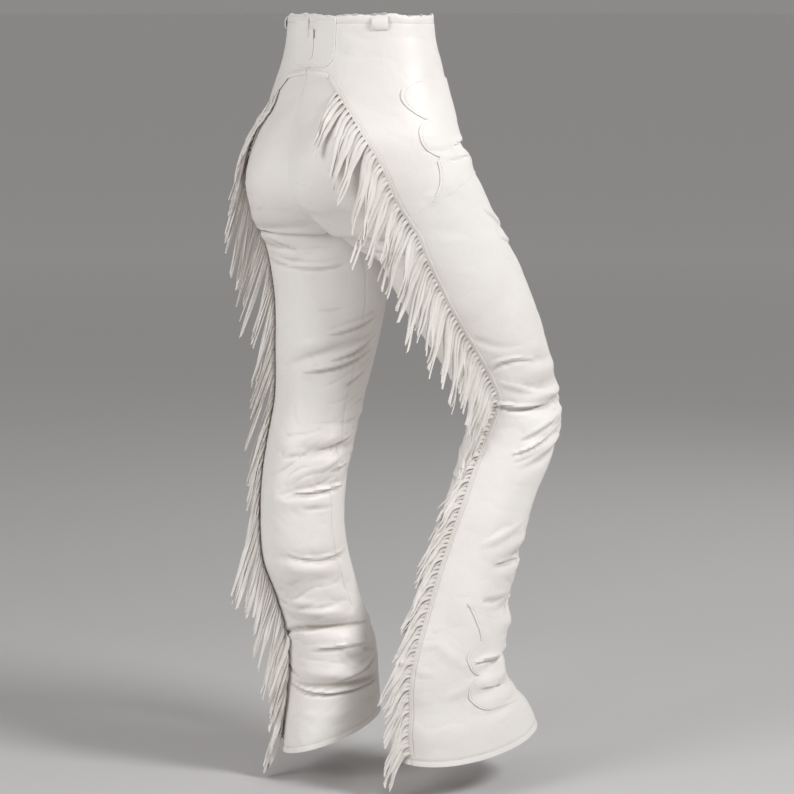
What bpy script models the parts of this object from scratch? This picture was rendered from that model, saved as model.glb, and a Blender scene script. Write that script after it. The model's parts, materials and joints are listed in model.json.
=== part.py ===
"""Fringed leather chaps with a fitted seat, standing open as if worn, with no wearer inside.

Metres, +Z up. The origin is the centre of the waist opening, where a wearer would hold the
garment up. The front faces -Y, so the left leg lies at +X and the right leg at -X.

Each side is one smooth outer surface: rings stacked from the waist to the hem. A ring is
cut by the middle plane above the crotch and closed below it. The panels, the overlays and
the fringe all take their points from that surface, so they lie on each other.

Angles go round a ring: 0 at the back, 90 at the outer side, 180 at the front, and 270, or
-90, at the inner leg.
"""

import math
from collections import namedtuple

import bmesh
import bpy
from mathutils import Matrix, Vector

# Leather, in metres.
WALL = 0.0016
OVERLAY = 0.0013
SEAM_GAP = 0.0003
LIFT = 0.0004

# Heights, measured from the waist edge.
YOKE_BOTTOM = -0.083
YOKE_CORNER = -0.089
SEAT_BOTTOM = -0.305
CROTCH = -0.312
FLARE_TOP = -0.95
HEM = -1.094
FLOOR = -1.135

# The figure is the same on both sides down to the crotch. centre is the ring's centre,
# measured outward from the middle plane, and the rest are the ring's half sizes.
Section = namedtuple("Section", "height centre width front back")
TORSO = [
    Section(0.010, 0.0, 0.1245, 0.0875, 0.087),
    Section(-0.030, 0.0, 0.129, 0.090, 0.088),
    Section(-0.060, 0.0, 0.136, 0.097, 0.091),
    Section(-0.120, 0.0, 0.153, 0.111, 0.111),
    Section(-0.170, 0.003, 0.166, 0.115, 0.133),
    Section(-0.210, 0.012, 0.163, 0.118, 0.142),
    Section(-0.240, 0.030, 0.148, 0.117, 0.143),
    Section(-0.270, 0.055, 0.122, 0.112, 0.135),
    Section(-0.290, 0.073, 0.1035, 0.107, 0.124),
    Section(-0.305, 0.0855, 0.0905, 0.104, 0.114),
]
LEFT_LEG = [
    Section(-0.312, 0.0888, 0.0884, 0.102, 0.107),
    Section(-0.340, 0.0895, 0.086, 0.096, 0.095),
    Section(-0.4125, 0.087, 0.080, 0.086, 0.086),
    Section(-0.487, 0.084, 0.073, 0.078, 0.078),
    Section(-0.560, 0.081, 0.064, 0.069, 0.068),
    Section(-0.620, 0.079, 0.064, 0.068, 0.067),
    Section(-0.680, 0.078, 0.061, 0.065, 0.066),
    Section(-0.740, 0.078, 0.060, 0.065, 0.067),
    Section(-0.800, 0.078, 0.062, 0.069, 0.071),
    Section(-0.858, 0.078, 0.061, 0.070, 0.070),
    Section(-0.934, 0.078, 0.067, 0.080, 0.077),
    Section(-1.010, 0.079, 0.067, 0.092, 0.082),
    Section(-1.100, 0.080, 0.068, 0.120, 0.096),
]
RIGHT_LEG = [
    Section(-0.312, 0.0888, 0.0884, 0.104, 0.112),
    Section(-0.340, 0.090, 0.0865, 0.107, 0.112),
    Section(-0.4125, 0.093, 0.082, 0.108, 0.108),
    Section(-0.487, 0.098, 0.075, 0.095, 0.094),
    Section(-0.530, 0.101, 0.068, 0.085, 0.084),
    Section(-0.568, 0.104, 0.064, 0.076, 0.075),
    Section(-0.600, 0.105, 0.064, 0.079, 0.076),
    Section(-0.664, 0.106, 0.062, 0.076, 0.074),
    Section(-0.7085, 0.106, 0.060, 0.071, 0.070),
    Section(-0.800, 0.107, 0.060, 0.074, 0.075),
    Section(-0.858, 0.107, 0.061, 0.076, 0.078),
    Section(-0.920, 0.107, 0.064, 0.083, 0.087),
    Section(-0.965, 0.1075, 0.066, 0.085, 0.092),
    Section(-1.010, 0.108, 0.071, 0.100, 0.102),
    Section(-1.045, 0.108, 0.078, 0.117, 0.112),
    Section(-1.100, 0.108, 0.083, 0.133, 0.118),
]

# The hem hangs lowest at an angle, and rises from there to the far side of the leg.
Hem = namedtuple("Hem", "angle up rise")
LEFT_HEM = Hem(60, 0.0, 0.045)
RIGHT_HEM = Hem(25, 0.011, 0.036)

# How the leg is held: forward of the hips, and the ring turned outward with the foot.
Pose = namedtuple("Pose", "height forward turn")
LEFT_POSE = [
    Pose(0.010, 0.0, 0),
    Pose(-0.200, 0.0, 0),
    Pose(-0.312, 0.012, 0),
    Pose(-0.4125, 0.017, 0),
    Pose(-0.487, 0.006, 0),
    Pose(-0.560, -0.010, 0),
    Pose(-0.620, -0.027, 2),
    Pose(-0.680, -0.042, 4),
    Pose(-0.740, -0.046, 7),
    Pose(-0.800, -0.039, 10),
    Pose(-0.858, -0.019, 14),
    Pose(-0.934, 0.005, 19),
    Pose(-1.010, 0.009, 24),
    Pose(-1.100, 0.008, 28),
]
RIGHT_POSE = [
    Pose(0.010, 0.0, 0),
    Pose(-0.160, 0.002, 0),
    Pose(-0.210, 0.016, 0),
    Pose(-0.250, 0.036, 0),
    Pose(-0.312, 0.071, 0),
    Pose(-0.360, 0.098, 0),
    Pose(-0.4125, 0.1265, 0),
    Pose(-0.487, 0.168, 0),
    Pose(-0.530, 0.191, 0),
    Pose(-0.568, 0.207, 0),
    Pose(-0.600, 0.209, 0),
    Pose(-0.650, 0.192, 0),
    Pose(-0.7085, 0.164, 0),
    Pose(-0.800, 0.127, 0),
    Pose(-0.858, 0.108, 0),
    Pose(-0.920, 0.094, 0),
    Pose(-0.965, 0.088, 0),
    Pose(-1.010, 0.096, 0),
    Pose(-1.100, 0.108, 0),
]

# The fringed seam, in degrees from the back.
Seam = namedtuple("Seam", "height angle")
LEFT_SEAM = [
    Seam(YOKE_CORNER, 18),
    Seam(-0.117, 29),
    Seam(-0.158, 41),
    Seam(-0.216, 49),
    Seam(-0.281, 45),
    Seam(-0.340, 39),
    Seam(-0.450, 38),
    Seam(-0.560, 38),
    Seam(-0.640, 37),
    Seam(-0.720, 35),
    Seam(-0.790, 31),
    Seam(-0.850, 26),
    Seam(-0.910, 24),
    Seam(-0.980, 34),
    Seam(-1.100, 58),
]
RIGHT_SEAM = [
    Seam(YOKE_CORNER, 18),
    Seam(-0.117, 29),
    Seam(-0.158, 42),
    Seam(-0.210, 50),
    Seam(-0.271, 46),
    Seam(-0.330, 39),
    Seam(-0.450, 40),
    Seam(-0.548, 39),
    Seam(-0.590, 24),
    Seam(-0.632, 16),
    Seam(-0.704, 12),
    Seam(-0.800, 10),
    Seam(-0.980, 8),
    Seam(-1.100, 12),
]

# The largest folds. A fold runs round the leg at a height, half_length degrees each way from
# its angle; climb is how far it rises towards the front over 90 degrees; depth is out (+)
# or in (-), and reach is its half width up and down the leg.
Fold = namedtuple("Fold", "height angle half_length climb reach depth")
LEFT_FOLDS = [
    Fold(-0.303, 10, 75, -0.010, 0.010, -0.0070),
    Fold(-0.322, 5, 70, 0.004, 0.010, 0.0040),
    Fold(-0.336, 12, 50, 0.004, 0.007, -0.0030),
    Fold(-0.358, 0, 70, 0.000, 0.009, -0.0030),
    Fold(-0.470, -60, 60, -0.030, 0.010, 0.0035),
    Fold(-0.488, -45, 70, -0.040, 0.009, -0.0045),
    Fold(-0.506, -55, 55, -0.045, 0.010, 0.0035),
    Fold(-0.610, -75, 55, -0.020, 0.011, 0.0045),
    Fold(-0.630, -70, 60, -0.018, 0.009, -0.0045),
    Fold(-0.648, -85, 50, -0.012, 0.010, 0.0050),
    Fold(-0.686, -65, 65, -0.016, 0.009, -0.0070),
    Fold(-0.704, -40, 50, -0.004, 0.010, 0.0030),
    Fold(-0.790, -50, 75, 0.004, 0.010, -0.0045),
    Fold(-0.808, -55, 60, 0.004, 0.011, 0.0030),
    Fold(-0.872, -40, 70, 0.010, 0.014, 0.0060),
    Fold(-0.898, -45, 80, -0.004, 0.009, -0.0080),
    Fold(-0.918, -70, 50, -0.014, 0.012, 0.0040),
    Fold(-0.942, -80, 50, -0.020, 0.009, -0.0035),
    Fold(-0.970, -45, 85, 0.008, 0.013, 0.0070),
    Fold(-0.992, -45, 85, 0.004, 0.009, -0.0090),
    Fold(-0.640, 185, 60, 0.004, 0.011, -0.0050),
    Fold(-0.690, 175, 55, -0.004, 0.011, -0.0040),
    Fold(-0.880, 150, 70, 0.006, 0.012, -0.0050),
    Fold(-0.930, 165, 60, -0.006, 0.012, -0.0055),
    Fold(-0.330, 165, 45, -0.010, 0.012, -0.0035),
]
RIGHT_FOLDS = [
    Fold(-0.184, 132, 38, 0.014, 0.009, -0.0040),
    Fold(-0.204, 140, 34, -0.010, 0.010, 0.0035),
    Fold(-0.497, 112, 42, 0.006, 0.011, -0.0030),
    Fold(-0.512, 118, 46, 0.010, 0.011, 0.0040),
    Fold(-0.536, 100, 60, 0.014, 0.010, -0.0045),
    Fold(-0.552, 110, 60, 0.016, 0.010, 0.0060),
    Fold(-0.568, 105, 62, 0.018, 0.009, -0.0075),
    Fold(-0.584, 120, 55, 0.030, 0.010, 0.0040),
    Fold(-0.612, 122, 48, 0.040, 0.010, -0.0045),
    Fold(-0.626, 118, 50, 0.040, 0.010, 0.0045),
    Fold(-0.644, 112, 50, 0.036, 0.010, -0.0045),
    Fold(-0.768, 112, 52, 0.020, 0.012, 0.0040),
    Fold(-0.790, 118, 48, 0.012, 0.010, -0.0060),
    Fold(-0.806, 122, 48, 0.010, 0.010, 0.0040),
    Fold(-0.858, 125, 42, 0.002, 0.012, -0.0060),
    Fold(-0.886, 128, 42, 0.006, 0.014, 0.0040),
    Fold(-0.944, 118, 50, 0.014, 0.009, -0.0090),
    Fold(-0.962, 112, 48, 0.014, 0.010, 0.0050),
    Fold(-0.984, 108, 46, 0.006, 0.009, -0.0050),
    Fold(-1.018, 112, 38, 0.020, 0.010, -0.0040),
    Fold(-0.320, 0, 55, 0.006, 0.012, -0.0030),
    Fold(-0.575, -20, 70, 0.000, 0.013, -0.0070),
    Fold(-0.600, -25, 65, -0.008, 0.012, -0.0050),
    Fold(-0.330, 175, 50, 0.008, 0.012, -0.0050),
]

# Rows of points down a side: closer together where its folds lie.
Rows = namedtuple("Rows", "top bottom step")
LEFT_ROWS = [
    Rows(YOKE_CORNER, -0.278, 0.027),
    Rows(-0.278, SEAT_BOTTOM, 0.009),
    Rows(CROTCH, -0.372, 0.012),
    Rows(-0.372, -0.455, 0.028),
    Rows(-0.455, -0.520, 0.0125),
    Rows(-0.520, -0.595, 0.025),
    Rows(-0.595, -0.715, 0.0125),
    Rows(-0.715, -0.775, 0.020),
    Rows(-0.775, -0.825, 0.0125),
    Rows(-0.825, -1.010, 0.0125),
    Rows(-1.010, HEM, 0.021),
]
RIGHT_ROWS = [
    Rows(YOKE_CORNER, -0.168, 0.0264),
    Rows(-0.168, -0.216, 0.012),
    Rows(-0.216, -0.278, 0.0207),
    Rows(-0.278, SEAT_BOTTOM, 0.009),
    Rows(CROTCH, -0.475, 0.0272),
    Rows(-0.475, -0.660, 0.0123),
    Rows(-0.660, -0.750, 0.0225),
    Rows(-0.750, -0.905, 0.0141),
    Rows(-0.905, -1.030, 0.0125),
    Rows(-1.030, HEM, 0.0213),
]
YOKE_ROWS = [Rows(0.0, YOKE_BOTTOM, 0.0208)]
SIDE_COLUMNS = 10
REAR_COLUMNS = 5

# Fringe.
STRANDS = 92
STRIP_WIDTH = 0.0065
FRINGE_TOP = -0.108
FRINGE_BOTTOM = -1.076
STRAND_WIDTH = 0.0056
STRAND_THICK = 0.0019
STRAND_RINGS = (0.14, 0.44, 1.0)
TURN_LENGTH = 0.026

# The strands drift back and towards the wearer's left. For each unit that a strand falls, drift
# is how far it moves that way, and lift how far it stands off the leather.
DRIFT = Vector((0.643, 0.766, 0.0))
Hang = namedtuple("Hang", "height length drift lift")
LEFT_HANG = [
    Hang(-0.108, 0.100, 0.22, 0.04),
    Hang(-0.200, 0.125, 0.28, 0.04),
    Hang(-0.300, 0.120, 0.22, 0.04),
    Hang(-0.420, 0.120, 0.25, 0.04),
    Hang(-0.600, 0.125, 0.25, 0.04),
    Hang(-0.720, 0.125, 0.24, 0.04),
    Hang(-0.860, 0.115, 0.25, 0.03),
    Hang(-0.960, 0.105, 0.27, 0.03),
    Hang(-1.076, 0.090, 0.40, 0.04),
]
RIGHT_HANG = [
    Hang(-0.108, 0.092, 0.30, 0.08),
    Hang(-0.200, 0.115, 0.36, 0.12),
    Hang(-0.300, 0.115, 0.32, 0.16),
    Hang(-0.420, 0.104, 0.24, 0.18),
    Hang(-0.540, 0.096, 0.32, 0.16),
    Hang(-0.620, 0.088, 0.46, 0.12),
    Hang(-0.720, 0.086, 0.50, 0.10),
    Hang(-0.860, 0.086, 0.48, 0.10),
    Hang(-0.980, 0.084, 0.38, 0.12),
    Hang(-1.076, 0.085, 0.34, 0.16),
]

# Overlays, drawn flat and cut out of a skin over the panels. across runs towards the back.
OVERLAY_ANGLE = 120
Lobe = namedtuple("Lobe", "across height radius")
HIP_LOBES = [Lobe(0.080, -0.119, 0.030), Lobe(0.082, -0.170, 0.028)]
HIP_SCOOP = Lobe(0.180, -0.225, 0.0895)
HIP_TIP = -0.280
HIP_DIP = 0.055
ANKLE_LOBES = [Lobe(0.0315, -0.978, 0.028), Lobe(0.0295, -0.931, 0.027)]
ANKLE_SCOOP = Lobe(0.335, -0.925, 0.300)
ANKLE_TIP = -0.848
ANKLE_DIP = -0.024
ARC_STEP = 30

BACK_YOKE_HALF = 0.045
BACK_YOKE_TOP = -0.004
BACK_YOKE_BOTTOM = -0.074
BACK_YOKE_CORNER = 0.017
FLY_WIDTH = 0.036
FLY_TOP = -0.012
FLY_BOTTOM = -0.165

LOOP_WIDTH = 0.022
LOOP_TOP = -0.003
LOOP_BOTTOM = -0.020
LOOP_RISE = 0.0030
LOOP_ANGLE = 55.0

SNAP_RADIUS = 0.0075
SNAP_HEIGHT = 0.0030

Finish = namedtuple("Finish", "colour roughness metallic")
CREAM = Finish((0.83, 0.80, 0.75, 1.0), 0.55, 0.0)
IVORY = Finish((0.86, 0.83, 0.79, 1.0), 0.50, 0.0)
SUEDE = Finish((0.80, 0.76, 0.70, 1.0), 0.75, 0.0)
NICKEL = Finish((0.72, 0.71, 0.69, 1.0), 0.30, 1.0)


def smooth(value):
    """0 to 1 with a soft start and end."""
    value = min(1.0, max(0.0, value))
    return value * value * (3.0 - 2.0 * value)


def along(table, height, column):
    """A column of a table at a height, on a smooth curve through its rows."""
    if height >= table[0].height:
        return getattr(table[0], column)
    if height <= table[-1].height:
        return getattr(table[-1], column)
    i = next(k for k in range(len(table) - 1) if table[k + 1].height <= height)
    before, here, there, after = (table[min(max(k, 0), len(table) - 1)] for k in range(i - 1, i + 3))
    span = there.height - here.height
    share = (height - here.height) / span

    def slope(low, high):
        run = high.height - low.height
        return (getattr(high, column) - getattr(low, column)) / run if run else 0.0

    start = slope(before, there) * span
    end = slope(here, after) * span
    a, b = getattr(here, column), getattr(there, column)
    return (
        a * (2 * share**3 - 3 * share**2 + 1)
        + start * (share**3 - 2 * share**2 + share)
        + b * (3 * share**2 - 2 * share**3)
        + end * (share**3 - share**2)
    )


class Side:
    """One half of the garment: its surface, and where its panels meet on it."""

    def __init__(self, name, sign, leg, pose, seam, folds, rows, hang, hem):
        self.name = name
        self.sign = sign
        self.sections = TORSO + leg
        self.pose = pose
        self.seam = seam
        self.folds = folds
        self.hang = hang
        self.hem = hem
        self.row_heights = heights_of(rows)

    def ring(self, height):
        """The ring's centre and half sizes."""
        centre, *halves = [along(self.sections, height, c) for c in ("centre", "width", "front", "back")]
        return [max(0.0, centre), *halves]

    def inner_angle(self, height):
        """How far past the back the ring goes before the middle plane cuts it, 90 at most."""
        centre, width, _, _ = self.ring(height)
        return 90.0 if centre >= width else math.degrees(math.asin(max(centre, 0.0) / width))

    def seam_angle(self, height):
        return along(self.seam, height, "angle")

    def fold_depth(self, angle, height):
        """How far the folds move the surface out at a point."""
        out = 0.0
        for fold in self.folds:
            turn = (angle - fold.angle + 180.0) % 360.0 - 180.0
            if abs(turn) >= fold.half_length:
                continue
            line = fold.height + fold.climb * turn / 90.0
            fade = math.cos(math.pi / 2 * turn / fold.half_length) ** 2
            seam_turn = (angle - self.seam_angle(height) + 180.0) % 360.0 - 180.0
            fade *= smooth(abs(seam_turn) / 16.0)
            out += fold.depth * fade * math.exp(-(((height - line) / fold.reach) ** 2))
        return out

    def seat_crease(self, across, height):
        """The soft hollow that the centre-back seam draws in the seat, and the fullness beside it."""
        level = math.exp(-(((height + 0.235) / 0.070) ** 2))
        full = math.exp(-(((across - 0.078) / 0.048) ** 2))
        return level * (0.014 * full - 0.010 * math.exp(-((across / 0.030) ** 2)))

    def point(self, angle, height):
        """A point of the outer surface."""
        centre, width, front, back = self.ring(height)
        turn = math.radians(angle)
        out = math.sin(turn)
        rear = math.cos(turn)
        fold = self.fold_depth(angle, height)
        x = (width + fold) * out
        y = ((back if rear > 0 else front) + fold) * rear
        if rear > 0:
            y += self.seat_crease(centre + x, height) * rear
        spin = math.radians(along(self.pose, height, "turn"))
        x, y = x * math.cos(spin) - y * math.sin(spin), y * math.cos(spin) + x * math.sin(spin)
        x += centre
        near_middle = (abs(x) + max(0.0, CROTCH - height)) / 0.085
        y -= along(self.pose, height, "forward") * smooth(near_middle)
        flare = smooth((FLARE_TOP - height) / (FLARE_TOP - HEM))
        rise = self.hem.up + self.hem.rise * (1 - math.cos(turn - math.radians(self.hem.angle))) / 2
        return Vector((self.sign * x, y, height + flare * rise + self.waist_wave(angle, height)))

    def waist_wave(self, angle, height):
        """The uneven cut of the waist edge."""
        near_edge = smooth(1 + height / 0.02)
        turn = math.radians(angle) * self.sign
        return near_edge * (0.0012 * math.sin(5 * turn + 0.6) + 0.0009 * math.sin(11 * turn + 1.9))

    def normal(self, angle, height):
        """The surface's outward direction at a point."""
        round_it = self.point(angle + 0.5, height) - self.point(angle - 0.5, height)
        down_it = self.point(angle, height - 0.0015) - self.point(angle, height + 0.0015)
        return (round_it.cross(down_it) * self.sign).normalized()

    def moved_out(self, angle, height, distance):
        return self.point(angle, height) + self.normal(angle, height) * distance

    def degrees_for(self, length, angle, height):
        """The turn that covers a length round the surface there."""
        step = (self.point(angle + 1.0, height) - self.point(angle - 1.0, height)).length / 2
        return length / step

    def side_edges(self, height):
        """The side panel's back and front edges, in degrees, half a seam gap in."""
        inner = self.inner_angle(height)
        back = -inner if height >= YOKE_BOTTOM else self.seam_angle(height)
        front = 180.0 + inner
        half = SEAM_GAP / 2
        return back + self.degrees_for(half, back, height), front - self.degrees_for(half, front, height)

    def rear_edges(self, height):
        """The seat's or the back leg's inner edge and seam edge, in degrees."""
        inner = -self.inner_angle(height)
        seam = self.seam_angle(height)
        half = SEAM_GAP / 2
        return inner + self.degrees_for(half, inner, height), seam - self.degrees_for(half, seam, height)


def heights_of(rows):
    """The heights that a table of rows asks for, from the top down."""
    found = []
    for row in rows:
        count = max(1, round((row.top - row.bottom) / row.step))
        found += [row.top + (row.bottom - row.top) * k / count for k in range(count + 1)]
    return [h for k, h in enumerate(found) if k == 0 or found[k - 1] - h > 1e-6]


def spaced(first, last, count, narrow_first, narrow_last):
    """Angles from first to last, with a narrow strip beside an edge where one is asked for."""
    start = first + (narrow_first if last > first else -narrow_first)
    end = last - (narrow_last if last > first else -narrow_last)
    inside = [start + (end - start) * k / count for k in range(count + 1)]
    return [first] * (narrow_first > 0) + inside + [last] * (narrow_last > 0)


def finish_material(name, finish):
    material = bpy.data.materials.get(name) or bpy.data.materials.new(name)
    material.use_nodes = True
    shader = material.node_tree.nodes["Principled BSDF"]
    shader.inputs["Base Color"].default_value = finish.colour
    shader.inputs["Roughness"].default_value = finish.roughness
    shader.inputs["Metallic"].default_value = finish.metallic
    return material


def add_object(name, mesh_source, material, collection):
    """Turns a bmesh into a named object with its material."""
    mesh = bpy.data.meshes.new(name)
    bmesh.ops.recalc_face_normals(mesh_source, faces=mesh_source.faces)
    mesh_source.to_mesh(mesh)
    mesh_source.free()
    mesh.shade_smooth()
    mesh.set_sharp_from_angle(angle=math.radians(50))
    obj = bpy.data.objects.new(name, mesh)
    obj.data.materials.append(material)
    collection.objects.link(obj)
    return obj


def wall_mesh(outer, inner):
    """A closed wall between two skins, each a grid of points with rows of one length.

    Each skin is split along the same diagonals, so a wall over another keeps its gap.
    """
    shape = bmesh.new()
    skins = [[[shape.verts.new(p) for p in row] for row in skin] for skin in (outer, inner)]
    rows, columns = len(outer), len(outer[0])
    for skin in skins:
        for r in range(rows - 1):
            for c in range(columns - 1):
                shape.faces.new((skin[r][c], skin[r + 1][c], skin[r + 1][c + 1]))
                shape.faces.new((skin[r][c], skin[r + 1][c + 1], skin[r][c + 1]))
    rim = [(0, c) for c in range(columns)] + [(r, columns - 1) for r in range(1, rows)]
    rim += [(rows - 1, c) for c in range(columns - 2, -1, -1)] + [(r, 0) for r in range(rows - 2, 0, -1)]
    for (r, c), (r_next, c_next) in zip(rim, rim[1:] + rim[:1]):
        shape.faces.new((skins[0][r][c], skins[0][r_next][c_next], skins[1][r_next][c_next], skins[1][r][c]))
    return shape


def panel(name, side, grid, material, collection, low=-WALL, high=0.0):
    """A piece of leather over a grid of (angle, height) places."""
    outer = [[side.moved_out(a, h, high) for a, h in row] for row in grid]
    inner = [[side.moved_out(a, h, low) for a, h in row] for row in grid]
    return add_object(name, wall_mesh(outer, inner), material, collection)


def side_places(side):
    """The side panel's grid. Its yoke keeps the columns of the first row below it."""
    grid = []
    for height in side.row_heights:
        back, front = side.side_edges(height)
        narrow = side.degrees_for(STRIP_WIDTH, back, height)
        grid.append([(a, height) for a in spaced(back, front, SIDE_COLUMNS, narrow, 0)])
    yoke = []
    for height in heights_of(YOKE_ROWS):
        back, front = side.side_edges(height)
        yoke.append([(back, height)] + [(a, height) for a, _ in grid[0][1:-1]] + [(front, height)])
    return yoke + grid


def side_panel(side, material, collection):
    """The outer leg, from the waist to the hem and from the fringed seam round to the inseam."""
    return panel(f"side_panel_{side.name}", side, side_places(side), material, collection)


def seat(side, material, collection):
    """Half of the seat, from the yoke to below the crotch."""
    grid = []
    rows = [h for h in side.row_heights if h >= SEAT_BOTTOM - 1e-6]
    for k, height in enumerate(rows):
        inner, seam = side.rear_edges(height)
        angles = spaced(seam, inner, REAR_COLUMNS, side.degrees_for(STRIP_WIDTH, seam, height), 0)
        if k == 0:
            lift = YOKE_BOTTOM - YOKE_CORNER
            line = [(a, height + lift * (seam - a) / (seam - inner) - SEAM_GAP) for a in angles]
            grid.append(line)
        else:
            grid.append([(a, height) for a in angles])
    return panel(f"seat_{side.name}", side, grid, material, collection)


def back_leg(side, material, collection):
    """The back of the leg, from below the seat to the hem."""
    grid = []
    rows = [h for h in side.row_heights if h <= SEAT_BOTTOM + 1e-6]
    for k, height in enumerate(rows):
        inner, seam = side.rear_edges(height)
        angles = spaced(seam, inner, REAR_COLUMNS, side.degrees_for(STRIP_WIDTH, seam, height), 0)
        grid.append([(a, height - SEAM_GAP * (k == 0)) for a in angles])
    return panel(f"back_leg_{side.name}", side, grid, material, collection)


def ring_outline(side, height):
    """The side's outline at a height, as flat points."""
    steps = range(-90, 270, 8)
    return [side.point(a, height).to_2d() for a in steps]


def kept_clear(place, sides, gap):
    """The place moved out level until it is that far outside both halves."""
    for side in sides:
        height = min(max(place.z, HEM), 0.0)
        outline = ring_outline(side, height)
        spot = place.to_2d()
        inside = False
        best = None
        for a, b in zip(outline, outline[1:] + outline[:1]):
            if (a.y > spot.y) != (b.y > spot.y):
                if spot.x < a.x + (spot.y - a.y) / (b.y - a.y) * (b.x - a.x):
                    inside = not inside
            edge = b - a
            share = min(1.0, max(0.0, (spot - a).dot(edge) / max(edge.length_squared, 1e-12)))
            near = a + edge * share
            if best is None or (spot - near).length < (spot - best).length:
                best = near
        away = spot - best
        distance = -away.length if inside else away.length
        if distance < gap:
            direction = (-away if inside else away).normalized()
            place = Vector((*(best + direction * gap), place.z))
    return place


def wobble(index, scale):
    """A fixed uneven value from -1 to 1 for each strand."""
    return math.sin(index * 2.399 + scale * 5.1) * math.cos(index * 0.733 + scale)


def strand_rings(side, sides, index, height, start):
    """The rings of three corners down a strand, from the strip to its end."""
    angle = side.seam_angle(height)
    outward = side.normal(angle, height)
    lower = side.point(side.seam_angle(height - 0.004), height - 0.004)
    upper = side.point(side.seam_angle(height + 0.004), height + 0.004)
    down_seam = (lower - upper).normalized()
    to_back = outward.cross(down_seam) * side.sign
    drift = along(side.hang, height, "drift") * (1 + 0.03 * wobble(index, 2.0))
    lift = along(side.hang, height, "lift")
    hanging = (Vector((0, 0, -1)) + DRIFT * drift + outward * lift).normalized()
    rooted = (to_back + outward * 0.10 + hanging * 0.5).normalized()
    length = along(side.hang, height, "length") * (1 + 0.12 * wobble(index, 1.0))
    length = min(length, (start.z - FLOOR - 0.004) / -hanging.z)
    pitch = (lower - upper).length / 0.008 * (FRINGE_TOP - FRINGE_BOTTOM) / STRANDS
    width = min(STRAND_WIDTH, 0.85 * pitch * hanging.cross(down_seam).length)
    steps = 24
    marks = [round(share * steps) for share in STRAND_RINGS]
    place = start.copy()
    middles, headings = [], []
    for k in range(1, steps + 1):
        distance = length * k / steps
        heading = rooted.lerp(hanging, smooth(distance / TURN_LENGTH)).normalized()
        place = place + heading * (length / steps)
        if k in marks:
            middles.append(kept_clear(place, sides, 0.0028 + 0.012 * distance))
            headings.append(heading)
    for share in (0.25, 0.5, 0.75):
        between = middles[-2].lerp(middles[-1], share)
        push = kept_clear(between, sides, 0.0035) - between
        middles[-2], middles[-1] = middles[-2] + push, middles[-1] + push
    rings = []
    for middle, heading in zip(middles, headings):
        middle.z = max(middle.z, FLOOR + 0.003)
        across = outward.cross(heading).normalized() * side.sign
        crest = heading.cross(across).normalized() * side.sign
        half = across * width / 2
        rise = crest * STRAND_THICK / 2
        rings.append([middle + half - rise, middle - half - rise, middle + rise])
    return rings


def fringe(side, sides, material, collection):
    """A stitched strip along the seam, with the strands growing from its back edge."""
    shape = bmesh.new()
    stations = [FRINGE_TOP + (FRINGE_BOTTOM - FRINGE_TOP) * k / STRANDS for k in range(STRANDS + 1)]
    low, high = LIFT, LIFT + OVERLAY
    strip = []
    for height in stations:
        seam, _ = side.side_edges(height)
        far = seam + side.degrees_for(STRIP_WIDTH, seam, height)
        corners = ((seam, low), (seam, high), (far, high), (far, low))
        strip.append([shape.verts.new(side.moved_out(a, height, d)) for a, d in corners])
    for upper, lower in zip(strip, strip[1:]):
        for a, b in ((1, 2), (2, 3), (3, 0)):
            shape.faces.new((upper[a], lower[a], lower[b], upper[b]))
    shape.faces.new(strip[0])
    shape.faces.new(strip[-1])
    for index, (upper, lower) in enumerate(zip(strip, strip[1:])):
        start = (upper[0].co + upper[1].co + lower[0].co + lower[1].co) / 4
        height = (stations[index] + stations[index + 1]) / 2
        rings = strand_rings(side, sides, index, height, start)
        rings = [[shape.verts.new(corner) for corner in ring] for ring in rings]
        first, second, crest = rings[0]
        shape.faces.new((upper[0], lower[0], second, first))
        shape.faces.new((lower[0], lower[1], crest, second))
        shape.faces.new((lower[1], upper[1], crest))
        shape.faces.new((upper[1], upper[0], first, crest))
        for ring, following in zip(rings, rings[1:]):
            for k in range(3):
                shape.faces.new((ring[k], ring[(k + 1) % 3], following[(k + 1) % 3], following[k]))
        shape.faces.new(rings[-1])
    return add_object(f"fringe_{side.name}", shape, material, collection)


def arc(centre, radius, start, end):
    """Points round part of a circle, in degrees from across towards up."""
    count = max(2, round(abs(end - start) / ARC_STEP))
    turns = [math.radians(start + (end - start) * k / count) for k in range(count + 1)]
    return [(centre[0] + radius * math.cos(t), centre[1] + radius * math.sin(t)) for t in turns]


def meeting_angle(lobe, height):
    """Where a lobe's back edge is at a height, in degrees."""
    return math.degrees(math.asin(max(-1.0, min(1.0, (height - lobe.height) / lobe.radius))))


def ornament(lobes, scoop, tip, dip):
    """Half of a scalloped outline, down its back edge or up it: two lobes, a scoop and a tip.

    The other half is its mirror image, and dip bends the edge between the two tips.
    """
    first, second = lobes
    way = -1 if tip < first.height else 1
    cusp = (first.height + second.height) / 2
    neck = second.height + way * second.radius * 0.97
    half = arc((first.across, first.height), first.radius, -way * 90, meeting_angle(first, cusp))
    half += arc((second.across, second.height), second.radius, meeting_angle(second, cusp), meeting_angle(second, neck))
    for share in (0.15, 0.35, 0.55, 0.8, 1.0):
        height = neck + (tip - neck) * share
        half.append((scoop.across - math.sqrt(scoop.radius**2 - (height - scoop.height) ** 2), height))
    edge_across = half[-1][0]
    for share in (0.7, 0.35):
        half.append((edge_across * share, tip + dip * (1 - share**2)))
    other = [(-x, y) for x, y in reversed(half)]
    return half + [(0.0, tip + dip)] + other


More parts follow.
